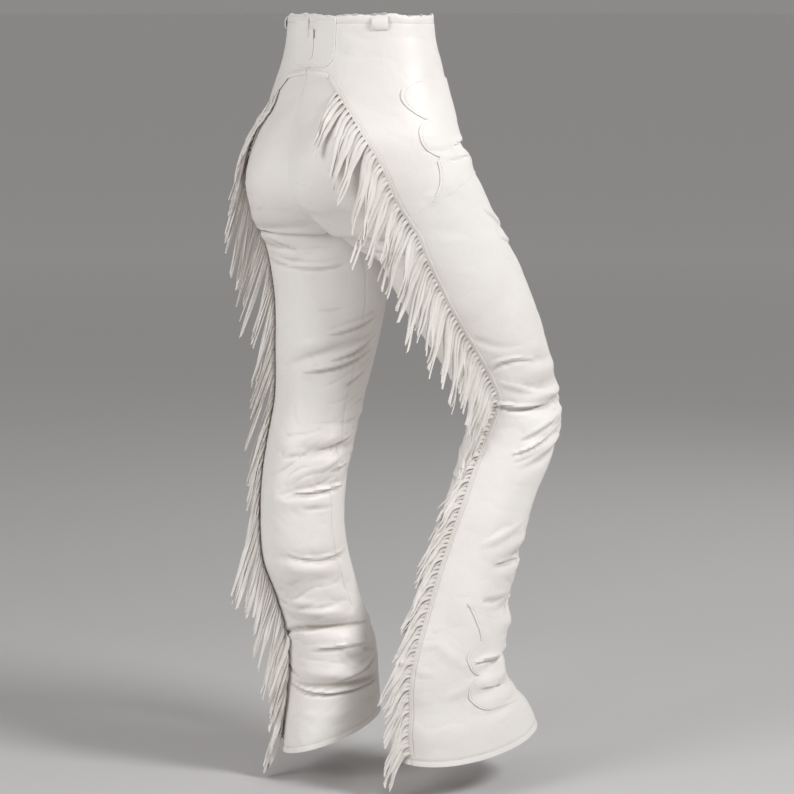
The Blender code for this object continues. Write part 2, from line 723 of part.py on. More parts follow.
def cutter_from(name, outline, place, facing, depth, collection):
    """A prism of an outline, standing on a place and facing a level direction."""
    curve = bpy.data.curves.new(name, "CURVE")
    curve.dimensions = "2D"
    curve.fill_mode = "BOTH"
    curve.extrude = depth / 2
    spline = curve.splines.new("POLY")
    spline.points.add(len(outline) - 1)
    for point, (x, y) in zip(spline.points, outline):
        point.co = (x, y, 0.0, 1.0)
    spline.use_cyclic_u = True
    flat = bpy.data.objects.new(name + "_curve", curve)
    collection.objects.link(flat)
    across = Vector((0, 0, 1)).cross(facing).normalized()
    flat.matrix_world = Matrix.Translation(place) @ Matrix((across, (0, 0, 1), facing)).transposed().to_4x4()
    bpy.context.view_layer.update()
    mesh = bpy.data.meshes.new_from_object(flat.evaluated_get(bpy.context.evaluated_depsgraph_get()))
    shape = bmesh.new()
    shape.from_mesh(mesh)
    bmesh.ops.remove_doubles(shape, verts=shape.verts, dist=1e-6)
    bmesh.ops.recalc_face_normals(shape, faces=shape.faces)
    shape.to_mesh(mesh)
    shape.free()
    cutter = bpy.data.objects.new(name, mesh)
    cutter.matrix_world = flat.matrix_world
    collection.objects.link(cutter)
    bpy.data.objects.remove(flat)
    cutter.hide_render = True
    cutter.display_type = "WIRE"
    return cutter


def cut_to(obj, cutter):
    """Keeps only what of the skin lies inside the cutter."""
    modifier = obj.modifiers.new("outline", "BOOLEAN")
    modifier.operation = "INTERSECT"
    modifier.solver = "EXACT"
    modifier.object = cutter


def overlay(name, side, outline, top, bottom, material, parts, cutters):
    """A scalloped overlay on a side panel, cut from a skin that follows the panel's own points."""
    rows = [[(a, h) for a, h in row[1:-1]] for row in side_places(side)]
    inside = [k for k, row in enumerate(rows) if bottom - 1e-6 <= row[0][1] <= top + 1e-6]
    grid = rows[max(0, inside[0] - 1): inside[-1] + 2]
    skin = panel(name, side, grid, material, parts, low=LIFT, high=LIFT + OVERLAY)
    middle = (top + bottom) / 2
    turn = math.radians(OVERLAY_ANGLE)
    facing = Vector((side.sign * math.sin(turn), math.cos(turn), 0))
    axis = Vector((side.sign * side.ring(middle)[0], -along(side.pose, middle, "forward"), 0))
    flip = -side.sign
    drawn = [(flip * x, y) for x, y in outline]
    cutter = cutter_from(name + "_outline", drawn, axis + facing * 0.10, facing, 0.20, cutters)
    cut_to(skin, cutter)
    return skin


def middle_skin(name, sides, angles, heights, low, high, material, collection):
    """A skin across the middle plane, where both halves have the same rings."""
    left, right = sides

    def place(angle, height, distance):
        side = left if angle >= 0 else right
        turn = abs(angle) if max(abs(a) for a in angles) < 90 else 180 - abs(angle)
        return side.moved_out(turn, height, distance)

    outer = [[place(a, h, high) for a in angles] for h in heights]
    inner = [[place(a, h, low) for a in angles] for h in heights]
    return add_object(name, wall_mesh(outer, inner), material, collection)


def back_yoke(sides, material, parts, cutters):
    """The small plate with round lower corners that ties the two legs together at the back."""
    angles = [-34, -24, -12, -0.5, 0.5, 12, 24, 34]
    heights = [0.0, -0.02075, -0.0415, -0.06225, BACK_YOKE_BOTTOM - 0.004]
    skin = middle_skin("back_yoke", sides, angles, heights, LIFT, LIFT + OVERLAY, material, parts)
    r = BACK_YOKE_CORNER
    outline = arc((BACK_YOKE_HALF - r, BACK_YOKE_BOTTOM + r), r, -90, 0)
    outline += [(BACK_YOKE_HALF, BACK_YOKE_TOP), (-BACK_YOKE_HALF, BACK_YOKE_TOP)]
    outline += arc((-BACK_YOKE_HALF + r, BACK_YOKE_BOTTOM + r), r, 180, 270)
    cut_to(skin, cutter_from("back_yoke_outline", outline, Vector((0, 0.10, 0)), Vector((0, 1, 0)), 0.16, cutters))
    return skin


def fly(left, material, parts, cutters):
    """The fly's flap on the left front, beside the centre-front seam."""
    rows = [h for h in heights_of(YOKE_ROWS) + left.row_heights if h > -0.24]
    grid = []
    for height in rows:
        _, front = left.side_edges(height)
        step = left.degrees_for(0.012, front, height)
        grid.append([(front - step * k, height) for k in range(5)])
    skin = panel("fly", left, grid, material, parts, low=LIFT, high=LIFT + OVERLAY)
    outline = [(-0.001, FLY_TOP), (-0.001, FLY_BOTTOM)]
    r = FLY_WIDTH
    outline += arc((0.0, FLY_BOTTOM + r), r, -90, 0)[1:]
    outline += [(r, FLY_TOP)]
    cut_to(skin, cutter_from("fly_outline", [(x, y) for x, y in outline], Vector((0, -0.10, 0)), Vector((0, -1, 0)), 0.16, cutters))
    return skin


def belt_loop(side, material, collection):
    """A short strap that stands off the waist, fixed at its top and bottom."""
    half = side.degrees_for(LOOP_WIDTH / 2, LOOP_ANGLE, LOOP_TOP)
    turns = [LOOP_ANGLE - half, LOOP_ANGLE, LOOP_ANGLE + half]
    middle = (LOOP_TOP + LOOP_BOTTOM) / 2
    heights = [LOOP_TOP, LOOP_TOP - 0.004, middle, LOOP_BOTTOM + 0.004, LOOP_BOTTOM]
    rises = [LIFT, LOOP_RISE * 0.75, LOOP_RISE, LOOP_RISE * 0.75, LIFT]
    inner = [[side.moved_out(t, h, r) for t in turns] for h, r in zip(heights, rises)]
    outer = [[side.moved_out(t, h, r + OVERLAY) for t in turns] for h, r in zip(heights, rises)]
    return add_object(f"belt_loop_{side.name}", wall_mesh(outer, inner), material, collection)


def waist_snap(left, material, collection):
    """The round snap that closes the waist over the fly."""
    angle, height = 174.0, FLY_TOP - 0.014
    place = left.moved_out(angle, height, LIFT * 3 + OVERLAY + SNAP_HEIGHT / 2)
    shape = bmesh.new()
    turned = Vector((0, 0, 1)).rotation_difference(left.normal(angle, height)).to_matrix().to_4x4()
    bmesh.ops.create_cone(
        shape,
        cap_ends=True,
        segments=20,
        radius1=SNAP_RADIUS,
        radius2=SNAP_RADIUS * 0.72,
        depth=SNAP_HEIGHT,
        matrix=Matrix.Translation(place) @ turned,
    )
    return add_object("waist_snap", shape, material, collection)


def main():
    for obj in list(bpy.data.objects):
        bpy.data.objects.remove(obj)
    parts = bpy.data.collections.new("fringed_chaps")
    cutters = bpy.data.collections.new("cutters")
    bpy.context.scene.collection.children.link(parts)
    bpy.context.scene.collection.children.link(cutters)
    leather = finish_material("leather", CREAM)
    trim = finish_material("overlay_leather", IVORY)
    thong = finish_material("fringe_suede", SUEDE)
    metal = finish_material("snap_metal", NICKEL)

    left = Side("left", 1, LEFT_LEG, LEFT_POSE, LEFT_SEAM, LEFT_FOLDS, LEFT_ROWS, LEFT_HANG, LEFT_HEM)
    right = Side("right", -1, RIGHT_LEG, RIGHT_POSE, RIGHT_SEAM, RIGHT_FOLDS, RIGHT_ROWS, RIGHT_HANG, RIGHT_HEM)
    sides = (left, right)
    hip = ornament(HIP_LOBES, HIP_SCOOP, HIP_TIP, HIP_DIP)
    ankle = ornament(ANKLE_LOBES, ANKLE_SCOOP, ANKLE_TIP, ANKLE_DIP)
    for side in sides:
        side_panel(side, leather, parts)
        seat(side, leather, parts)
        back_leg(side, leather, parts)
        fringe(side, sides, thong, parts)
        overlay(f"hip_overlay_{side.name}", side, hip, YOKE_CORNER, HIP_TIP, trim, parts, cutters)
        overlay(f"ankle_overlay_{side.name}", side, ankle, ANKLE_TIP, -1.006, trim, parts, cutters)
        belt_loop(side, trim, parts)
    back_yoke(sides, trim, parts, cutters)
    fly(left, trim, parts, cutters)
    waist_snap(left, metal, parts)


main()
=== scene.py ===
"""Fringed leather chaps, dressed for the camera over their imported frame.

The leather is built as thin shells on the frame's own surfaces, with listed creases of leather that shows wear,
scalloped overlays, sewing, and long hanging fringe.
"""

import json
import logging
import math
from dataclasses import dataclass
from enum import Enum

import bmesh
import bpy
import numpy as np
from mathutils import Matrix, Vector

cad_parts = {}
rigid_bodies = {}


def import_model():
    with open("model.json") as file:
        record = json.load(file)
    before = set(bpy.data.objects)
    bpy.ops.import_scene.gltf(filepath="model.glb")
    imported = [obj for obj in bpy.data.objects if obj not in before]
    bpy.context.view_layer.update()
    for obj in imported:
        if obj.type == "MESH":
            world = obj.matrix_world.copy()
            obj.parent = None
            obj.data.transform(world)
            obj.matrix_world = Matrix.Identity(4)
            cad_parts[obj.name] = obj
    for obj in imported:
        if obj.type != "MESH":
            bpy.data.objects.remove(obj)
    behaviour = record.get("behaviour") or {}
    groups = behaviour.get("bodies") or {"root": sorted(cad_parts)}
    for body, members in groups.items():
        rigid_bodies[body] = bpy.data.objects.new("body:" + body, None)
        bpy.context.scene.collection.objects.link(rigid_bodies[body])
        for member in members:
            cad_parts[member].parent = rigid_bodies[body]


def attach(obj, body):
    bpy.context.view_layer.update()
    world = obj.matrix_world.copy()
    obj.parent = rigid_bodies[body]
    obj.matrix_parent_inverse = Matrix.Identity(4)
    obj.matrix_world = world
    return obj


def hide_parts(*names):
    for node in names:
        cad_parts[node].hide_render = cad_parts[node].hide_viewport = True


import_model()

log = logging.getLogger("chaps")

WALL = 0.0016
OVERLAY = 0.0013
LIFT = 0.0004
SEAM_GAP = 0.0003
YOKE_BOTTOM = -0.083
YOKE_CORNER = -0.089
SEAT_BOTTOM = -0.305
CROTCH = -0.312
FLARE_TOP = -0.95
HEM = -1.094
FLOOR = -1.135
SHARP = 0.74  # how narrow the creases are against their stated reach
ROUND = 0.00128  # metres of leather in one degree round a leg

# Rings: height, centre outward from the middle plane, half width, half depth in front and behind.
TORSO = (
    (0.010, 0.0, 0.1245, 0.0875, 0.087),
    (-0.030, 0.0, 0.129, 0.090, 0.088),
    (-0.060, 0.0, 0.136, 0.097, 0.091),
    (-0.120, 0.0, 0.153, 0.111, 0.111),
    (-0.170, 0.003, 0.166, 0.115, 0.133),
    (-0.210, 0.012, 0.163, 0.118, 0.142),
    (-0.240, 0.030, 0.148, 0.117, 0.143),
    (-0.270, 0.055, 0.122, 0.112, 0.135),
    (-0.290, 0.073, 0.1035, 0.107, 0.124),
    (-0.305, 0.0855, 0.0905, 0.104, 0.114),
)

LEFT_LEG = (
    (-0.312, 0.0888, 0.0884, 0.102, 0.107),
    (-0.340, 0.0895, 0.086, 0.096, 0.095),
    (-0.4125, 0.087, 0.080, 0.086, 0.086),
    (-0.487, 0.084, 0.073, 0.078, 0.078),
    (-0.560, 0.081, 0.064, 0.069, 0.068),
    (-0.620, 0.079, 0.064, 0.068, 0.067),
    (-0.680, 0.078, 0.061, 0.065, 0.066),
    (-0.740, 0.078, 0.060, 0.065, 0.067),
    (-0.800, 0.078, 0.062, 0.069, 0.071),
    (-0.858, 0.078, 0.061, 0.070, 0.070),
    (-0.934, 0.078, 0.067, 0.080, 0.077),
    (-1.010, 0.079, 0.067, 0.092, 0.082),
    (-1.100, 0.080, 0.068, 0.120, 0.096),
)

RIGHT_LEG = (
    (-0.312, 0.0888, 0.0884, 0.104, 0.112),
    (-0.340, 0.090, 0.0865, 0.107, 0.112),
    (-0.4125, 0.093, 0.082, 0.108, 0.108),
    (-0.487, 0.098, 0.075, 0.095, 0.094),
    (-0.530, 0.101, 0.068, 0.085, 0.084),
    (-0.568, 0.104, 0.064, 0.076, 0.075),
    (-0.600, 0.105, 0.064, 0.079, 0.076),
    (-0.664, 0.106, 0.062, 0.076, 0.074),
    (-0.7085, 0.106, 0.060, 0.071, 0.070),
    (-0.800, 0.107, 0.060, 0.074, 0.075),
    (-0.858, 0.107, 0.061, 0.076, 0.078),
    (-0.920, 0.107, 0.064, 0.083, 0.087),
    (-0.965, 0.1075, 0.066, 0.085, 0.092),
    (-1.010, 0.108, 0.071, 0.100, 0.102),
    (-1.045, 0.108, 0.078, 0.117, 0.112),
    (-1.100, 0.108, 0.083, 0.133, 0.118),
)

LEFT_POSE = (
    (0.010, 0.0, 0),
    (-0.200, 0.0, 0),
    (-0.312, 0.012, 0),
    (-0.4125, 0.017, 0),
    (-0.487, 0.006, 0),
    (-0.560, -0.010, 0),
    (-0.620, -0.027, 2),
    (-0.680, -0.042, 4),
    (-0.740, -0.046, 7),
    (-0.800, -0.039, 10),
    (-0.858, -0.019, 14),
    (-0.934, 0.005, 19),
    (-1.010, 0.009, 24),
    (-1.100, 0.008, 28),
)

RIGHT_POSE = (
    (0.010, 0.0, 0),
    (-0.160, 0.002, 0),
    (-0.210, 0.016, 0),
    (-0.250, 0.036, 0),
    (-0.312, 0.071, 0),
    (-0.360, 0.098, 0),
    (-0.4125, 0.1265, 0),
    (-0.487, 0.168, 0),
    (-0.530, 0.191, 0),
    (-0.568, 0.207, 0),
    (-0.600, 0.209, 0),
    (-0.650, 0.192, 0),
    (-0.7085, 0.164, 0),
    (-0.800, 0.127, 0),
    (-0.858, 0.108, 0),
    (-0.920, 0.094, 0),
    (-0.965, 0.088, 0),
    (-1.010, 0.096, 0),
    (-1.100, 0.108, 0),
)

LEFT_SEAM = (
    (-0.089, 18),
    (-0.117, 29),
    (-0.158, 41),
    (-0.216, 49),
    (-0.281, 45),
    (-0.340, 39),
    (-0.450, 38),
    (-0.560, 38),
    (-0.640, 37),
    (-0.720, 35),
    (-0.790, 31),
    (-0.850, 26),
    (-0.910, 24),
    (-0.980, 34),
    (-1.100, 58),
)

RIGHT_SEAM = (
    (-0.089, 18),
    (-0.117, 29),
    (-0.158, 42),
    (-0.210, 50),
    (-0.271, 46),
    (-0.330, 39),
    (-0.450, 40),
    (-0.548, 39),
    (-0.590, 24),
    (-0.632, 16),
    (-0.704, 12),
    (-0.800, 10),
    (-0.980, 8),
    (-1.100, 12),
)

LEFT_FOLDS = (
    (-0.303, 10, 75, -0.010, 0.010, -0.0070),
    (-0.322, 5, 70, 0.004, 0.010, 0.0040),
    (-0.336, 12, 50, 0.004, 0.007, -0.0030),
    (-0.358, 0, 70, 0.000, 0.009, -0.0030),
    (-0.470, -60, 60, -0.030, 0.010, 0.0035),
    (-0.488, -45, 70, -0.040, 0.009, -0.0045),
    (-0.506, -55, 55, -0.045, 0.010, 0.0035),
    (-0.610, -75, 55, -0.020, 0.011, 0.0045),
    (-0.630, -70, 60, -0.018, 0.009, -0.0045),
    (-0.648, -85, 50, -0.012, 0.010, 0.0050),
    (-0.686, -65, 65, -0.016, 0.009, -0.0070),
    (-0.704, -40, 50, -0.004, 0.010, 0.0030),
    (-0.790, -50, 75, 0.004, 0.010, -0.0045),
    (-0.808, -55, 60, 0.004, 0.011, 0.0030),
    (-0.872, -40, 70, 0.010, 0.014, 0.0060),
    (-0.898, -45, 80, -0.004, 0.009, -0.0080),
    (-0.918, -70, 50, -0.014, 0.012, 0.0040),
    (-0.942, -80, 50, -0.020, 0.009, -0.0035),
    (-0.970, -45, 85, 0.008, 0.013, 0.0070),
    (-0.992, -45, 85, 0.004, 0.009, -0.0090),
    (-0.640, 185, 60, 0.004, 0.011, -0.0050),
    (-0.690, 175, 55, -0.004, 0.011, -0.0040),
    (-0.880, 150, 70, 0.006, 0.012, -0.0050),
    (-0.930, 165, 60, -0.006, 0.012, -0.0055),
    (-0.330, 165, 45, -0.010, 0.012, -0.0035),
)

RIGHT_FOLDS = (
    (-0.184, 132, 38, 0.014, 0.009, -0.0040),
    (-0.204, 140, 34, -0.010, 0.010, 0.0035),
    (-0.497, 112, 42, 0.006, 0.011, -0.0030),
    (-0.512, 118, 46, 0.010, 0.011, 0.0040),
    (-0.536, 100, 60, 0.014, 0.010, -0.0045),
    (-0.552, 110, 60, 0.016, 0.010, 0.0060),
    (-0.568, 105, 62, 0.018, 0.009, -0.0075),
    (-0.584, 120, 55, 0.030, 0.010, 0.0040),
    (-0.612, 122, 48, 0.040, 0.010, -0.0045),
    (-0.626, 118, 50, 0.040, 0.010, 0.0045),
    (-0.644, 112, 50, 0.036, 0.010, -0.0045),
    (-0.768, 112, 52, 0.020, 0.012, 0.0040),
    (-0.790, 118, 48, 0.012, 0.010, -0.0060),
    (-0.806, 122, 48, 0.010, 0.010, 0.0040),
    (-0.858, 125, 42, 0.002, 0.012, -0.0060),
    (-0.886, 128, 42, 0.006, 0.014, 0.0040),
    (-0.944, 118, 50, 0.014, 0.009, -0.0090),
    (-0.962, 112, 48, 0.014, 0.010, 0.0050),
    (-0.984, 108, 46, 0.006, 0.009, -0.0050),
    (-1.018, 112, 38, 0.020, 0.010, -0.0040),
    (-0.320, 0, 55, 0.006, 0.012, -0.0030),
    (-0.575, -20, 70, 0.000, 0.013, -0.0070),
    (-0.600, -25, 65, -0.008, 0.012, -0.0050),
    (-0.330, 175, 50, 0.008, 0.012, -0.0050),
)

LEFT_HANG = (
    (-0.108, 0.100, 0.22, 0.04),
    (-0.200, 0.125, 0.28, 0.04),
    (-0.300, 0.120, 0.22, 0.04),
    (-0.420, 0.120, 0.25, 0.04),
    (-0.600, 0.125, 0.25, 0.04),
    (-0.720, 0.125, 0.24, 0.04),
    (-0.860, 0.115, 0.25, 0.03),
    (-0.960, 0.105, 0.27, 0.03),
    (-1.076, 0.090, 0.40, 0.04),
)

RIGHT_HANG = (
    (-0.108, 0.092, 0.30, 0.08),
    (-0.200, 0.115, 0.36, 0.12),
    (-0.300, 0.115, 0.32, 0.16),
    (-0.420, 0.104, 0.24, 0.18),
    (-0.540, 0.096, 0.32, 0.16),
    (-0.620, 0.088, 0.46, 0.12),
    (-0.720, 0.086, 0.50, 0.10),
    (-0.860, 0.086, 0.48, 0.10),
    (-0.980, 0.084, 0.38, 0.12),
    (-1.076, 0.085, 0.34, 0.16),
)


def smooth(value: np.ndarray) -> np.ndarray:
    """0 to 1 with a soft start and end."""
    value = np.clip(value, 0.0, 1.0)
    return value * value * (3.0 - 2.0 * value)


def along(table: tuple[tuple[float, ...], ...], height: np.ndarray, column: int) -> np.ndarray:
    """Reads a column of a table at many heights, on a smooth curve through its rows.

    Args:
        table: Rows from the top down, with the height first.
        height: Heights to read at.
        column: Which column to read.

    Returns:
        The column's value at each height.
    """
    rows = np.array(table, dtype=float)
    high, value = rows[:, 0], rows[:, column]
    height = np.clip(height, high[-1], high[0])
    here = np.clip(np.searchsorted(-high, -height, side="right") - 1, 0, len(high) - 2)
    before, there, after = np.maximum(here - 1, 0), here + 1, np.minimum(here + 2, len(high) - 1)
    span = high[there] - high[here]
    share = (height - high[here]) / span

    def slope(low: np.ndarray, top: np.ndarray) -> np.ndarray:
        """The rise per metre between two rows."""
        run = high[top] - high[low]
        return np.where(run == 0, 0.0, (value[top] - value[low]) / np.where(run == 0, 1.0, run))

    start, end = slope(before, there) * span, slope(here, after) * span
    square, cube = share**2, share**3
    return (
        value[here] * (2 * cube - 3 * square + 1)
        + start * (cube - 2 * square + share)
        + value[there] * (3 * square - 2 * cube)
        + end * (cube - square)
    )


class Form(Enum):
    """How the leather runs across a crease."""

    TROUGH = "trough"
    RIDGE = "ridge"
    STEP = "step"


@dataclass(frozen=True)
class Crease:
    """A crease along a soft bow through three places, each an angle and a height."""

    start: tuple[float, float]
    middle: tuple[float, float]
    end: tuple[float, float]
    reach: float
    depth: float
    form: Form = Form.STEP

    def depth_at(self, angle: np.ndarray, height: np.ndarray) -> np.ndarray:
        """Works out how far the crease moves the leather out.

        Args:
            angle: Ring angles in degrees.
            height: Heights in metres.

        Returns:
            The move at each place, in metres.
        """
        out = np.zeros(np.shape(angle))
        turn = (angle - self.middle[0] + 180.0) % 360.0 - 180.0
        place = np.stack([turn * ROUND, height], axis=-1)
        a, b, c = (np.array([(p[0] - self.middle[0]) * ROUND, p[1]]) for p in (self.start, self.middle, self.end))
        margin = 3.2 * self.reach
        low = np.minimum(np.minimum(a, b), c) - margin
        high = np.maximum(np.maximum(a, b), c) + margin
        near = np.all((place > low) & (place < high), axis=-1)
        if not near.any():
            return out
        spot = place[near]
        control = 2 * b - (a + c) / 2
        shares = np.linspace(0, 1, 13)[:, None]
        line = (1 - shares) ** 2 * a + 2 * shares * (1 - shares) * control + shares**2 * c
        best = np.full(len(spot), 9.0)
        side, run = np.zeros(len(spot)), np.zeros(len(spot))
        for k, (p, q) in enumerate(zip(line, line[1:])):
            way = q - p
            t = np.clip((spot - p) @ way / (way @ way), 0, 1)
            gap = spot - (p + t[:, None] * way)
            distance = np.hypot(gap[:, 0], gap[:, 1])
            up = np.sign(gap[:, 1] * way[0] - gap[:, 0] * way[1]) * (1 if way[0] >= 0 else -1)
            nearer = distance < best
            best = np.where(nearer, distance, best)
            side = np.where(nearer, up, side)
            run = np.where(nearer, (k + t) / (len(line) - 1), run)
        fade = np.sin(np.pi * run) ** 0.75
        across = best / (self.reach * SHARP * (0.4 + 0.6 * fade) + 1e-9)
        if self.form is Form.TROUGH:
            form = -np.exp(-(across**2)) + 0.25 * np.exp(-((across - 1.9) ** 2) * 2)
        elif self.form is Form.RIDGE:
            form = np.exp(-(across**2))
        else:
            form = np.where(side > 0, 1.75 * across * np.exp(-(across**2) / 1.6), -1.9 * across * np.exp(-(across**2) * 1.3))
            form = form - 0.35 * np.exp(-(across**2) * 6)
        out[near] = self.depth * fade * form
        return out


@dataclass(frozen=True)
class Rumple:
    """Fine wrinkles over a patch: uneven valleys, longer round the leg than down it."""

    angle: float
    height: float
    half_angle: float
    half_height: float
    depth: float
    cells: int
    pitch: float
    climb: float
    seed: int

    def depth_at(self, angle: np.ndarray, height: np.ndarray) -> np.ndarray:
        """Works out how far the wrinkles move the leather in.

        Args:
            angle: Ring angles in degrees.
            height: Heights in metres.

        Returns:
            The move at each place, in metres.
        """
        turn = (angle - self.angle + 180.0) % 360.0 - 180.0
        patch = np.exp(-((turn / self.half_angle) ** 4) - ((height - self.height) / self.half_height) ** 4)
        slopes = np.random.default_rng(self.seed).uniform(0, 2 * np.pi, (self.cells, 64))
        across = (angle % 360.0) / 360.0 * self.cells
        down = (height + self.climb * np.sin(np.radians(turn))) / self.pitch + 200.0
        left, top = np.floor(across), np.floor(down)
        u, v = across - left, down - top
        value = np.zeros(np.shape(angle))
        for i in (0, 1):
            for j in (0, 1):
                lean = slopes[(left.astype(int) + i) % self.cells, (top.astype(int) + j) % 64]
                share = smooth(1 - np.abs(u - i)) * smooth(1 - np.abs(v - j))
                value += share * (np.cos(lean) * (u - i) + np.sin(lean) * (v - j))
        valley = np.clip(1 - np.abs(value) * 3.4, 0, 1) ** 2
        return patch * self.depth * (0.9 * value * 2.0 - valley)


LEFT_RUMPLES = (
    Rumple(-70, -0.650, 62, 0.050, 0.0021, 9, 0.017, 0.022, 3),
    Rumple(-95, -0.560, 45, 0.045, 0.0014, 8, 0.019, 0.028, 5),
    Rumple(-40, -0.855, 80, 0.038, 0.0014, 8, 0.022, 0.020, 8),
    Rumple(-50, -0.925, 75, 0.030, 0.0013, 6, 0.020, -0.020, 13),
    Rumple(-10, -0.345, 55, 0.022, 0.0011, 8, 0.013, -0.010, 21),
    Rumple(170, -0.620, 90, 0.060, 0.0018, 9, 0.019, 0.012, 34),
    Rumple(150, -0.920, 90, 0.045, 0.0014, 8, 0.022, 0.010, 55),
    Rumple(165, -0.190, 60, 0.050, 0.0014, 8, 0.018, 0.020, 61),
    Rumple(90, -0.600, 400, 0.900, 0.0006, 11, 0.036, 0.015, 89),
)

RIGHT_RUMPLES = (
    Rumple(175, -0.175, 40, 0.035, 0.0018, 9, 0.016, 0.020, 4),
    Rumple(165, -0.590, 60, 0.045, 0.0022, 9, 0.018, 0.024, 6),
    Rumple(150, -0.790, 50, 0.060, 0.0013, 8, 0.020, 0.030, 9),
    Rumple(165, -0.925, 50, 0.038, 0.0024, 9, 0.015, 0.012, 14),
    Rumple(-45, -0.600, 70, 0.060, 0.0020, 9, 0.018, 0.016, 22),
    Rumple(-45, -0.920, 75, 0.045, 0.0020, 9, 0.018, -0.010, 35),
    Rumple(-20, -0.350, 50, 0.024, 0.0011, 8, 0.014, 0.010, 56),
    Rumple(90, -0.600, 400, 0.900, 0.0006, 11, 0.036, 0.015, 90),
)

LEFT_CREASES = (
    Crease((9, -0.3206), (-10, -0.3308), (-27, -0.3388), 0.0045, 0.0022),
    Crease((22, -0.3554), (-34, -0.3652), (-70, -0.3564), 0.0060, 0.0022),
    Crease((-33, -0.4256), (-52, -0.4268), (-67, -0.4228), 0.0035, 0.0010, Form.TROUGH),
    Crease((-49, -0.4632), (-80, -0.4542), (-112, -0.4360), 0.0065, 0.0030),
    Crease((-57, -0.4996), (-85, -0.4898), (-115, -0.4650), 0.0065, 0.0034),
    Crease((-24, -0.5182), (-70, -0.5092), (-115, -0.4850), 0.0060, 0.0044),
    Crease((-82, -0.5380), (-104, -0.5236), (-125, -0.4980), 0.0060, 0.0030),
    Crease((-56, -0.6308), (-92, -0.6232), (-120, -0.6020), 0.0060, 0.0036),
    Crease((-14, -0.6418), (-32, -0.6392), (-48, -0.6378), 0.0045, 0.0022, Form.TROUGH),
    Crease((-82, -0.6610), (-104, -0.6592), (-125, -0.6480), 0.0050, 0.0034),
    Crease((-33, -0.6944), (-72, -0.6928), (-120, -0.6870), 0.0060, 0.0056),
    Crease((-45, -0.7144), (-69, -0.7158), (-97, -0.7148), 0.0045, 0.0018, Form.TROUGH),
    Crease((-20, -0.7020), (-31, -0.6998), (-45, -0.6940), 0.0045, 0.0018, Form.TROUGH),
    Crease((-19, -0.7822), (-65, -0.7938), (-120, -0.7810), 0.0055, 0.0030),
    Crease((15, -0.8560), (-20, -0.8640), (-80, -0.8560), 0.0080, 0.0018),
    Crease((25, -0.8648), (-15, -0.8726), (-75, -0.8744), 0.0090, 0.0026, Form.RIDGE),
    Crease((30, -0.9200), (-12, -0.8995), (-118, -0.9010), 0.0052, 0.0062, Form.TROUGH),
    Crease((34, -0.9230), (36, -0.9540), (0, -0.9800), 0.0045, 0.0034, Form.TROUGH),
    Crease((-12, -0.9320), (-49, -0.9290), (-99, -0.9272), 0.0055, 0.0028),
    Crease((-35, -0.9870), (-70, -0.9714), (-118, -0.9480), 0.0065, 0.0036),
    Crease((28, -0.9860), (-35, -1.0060), (-118, -1.0020), 0.0058, 0.0062),
    Crease((9, -1.0318), (-30, -1.0470), (-69, -1.0504), 0.0120, 0.0012, Form.RIDGE),
    Crease((70, -0.5000), (110, -0.5120), (160, -0.5020), 0.0065, 0.0026),
    Crease((85, -0.6400), (140, -0.6520), (195, -0.6400), 0.0065, 0.0032),
    Crease((75, -0.7000), (120, -0.7060), (170, -0.6940), 0.0060, 0.0026),
    Crease((120, -0.7900), (160, -0.8000), (210, -0.7920), 0.0060, 0.0028),
    Crease((62, -0.9060), (115, -0.9180), (175, -0.9060), 0.0060, 0.0044),
    Crease((95, -0.9420), (140, -0.9540), (190, -0.9460), 0.0055, 0.0032),
    Crease((105, -0.9880), (150, -1.0020), (205, -0.9920), 0.0055, 0.0034, Form.TROUGH),
    Crease((172, -0.3060), (140, -0.2900), (104, -0.2640), 0.0060, 0.0026),
    Crease((188, -0.3300), (150, -0.3240), (110, -0.3080), 0.0060, 0.0022),
    Crease((215, -0.3500), (185, -0.3560), (150, -0.3520), 0.0060, 0.0020),
)
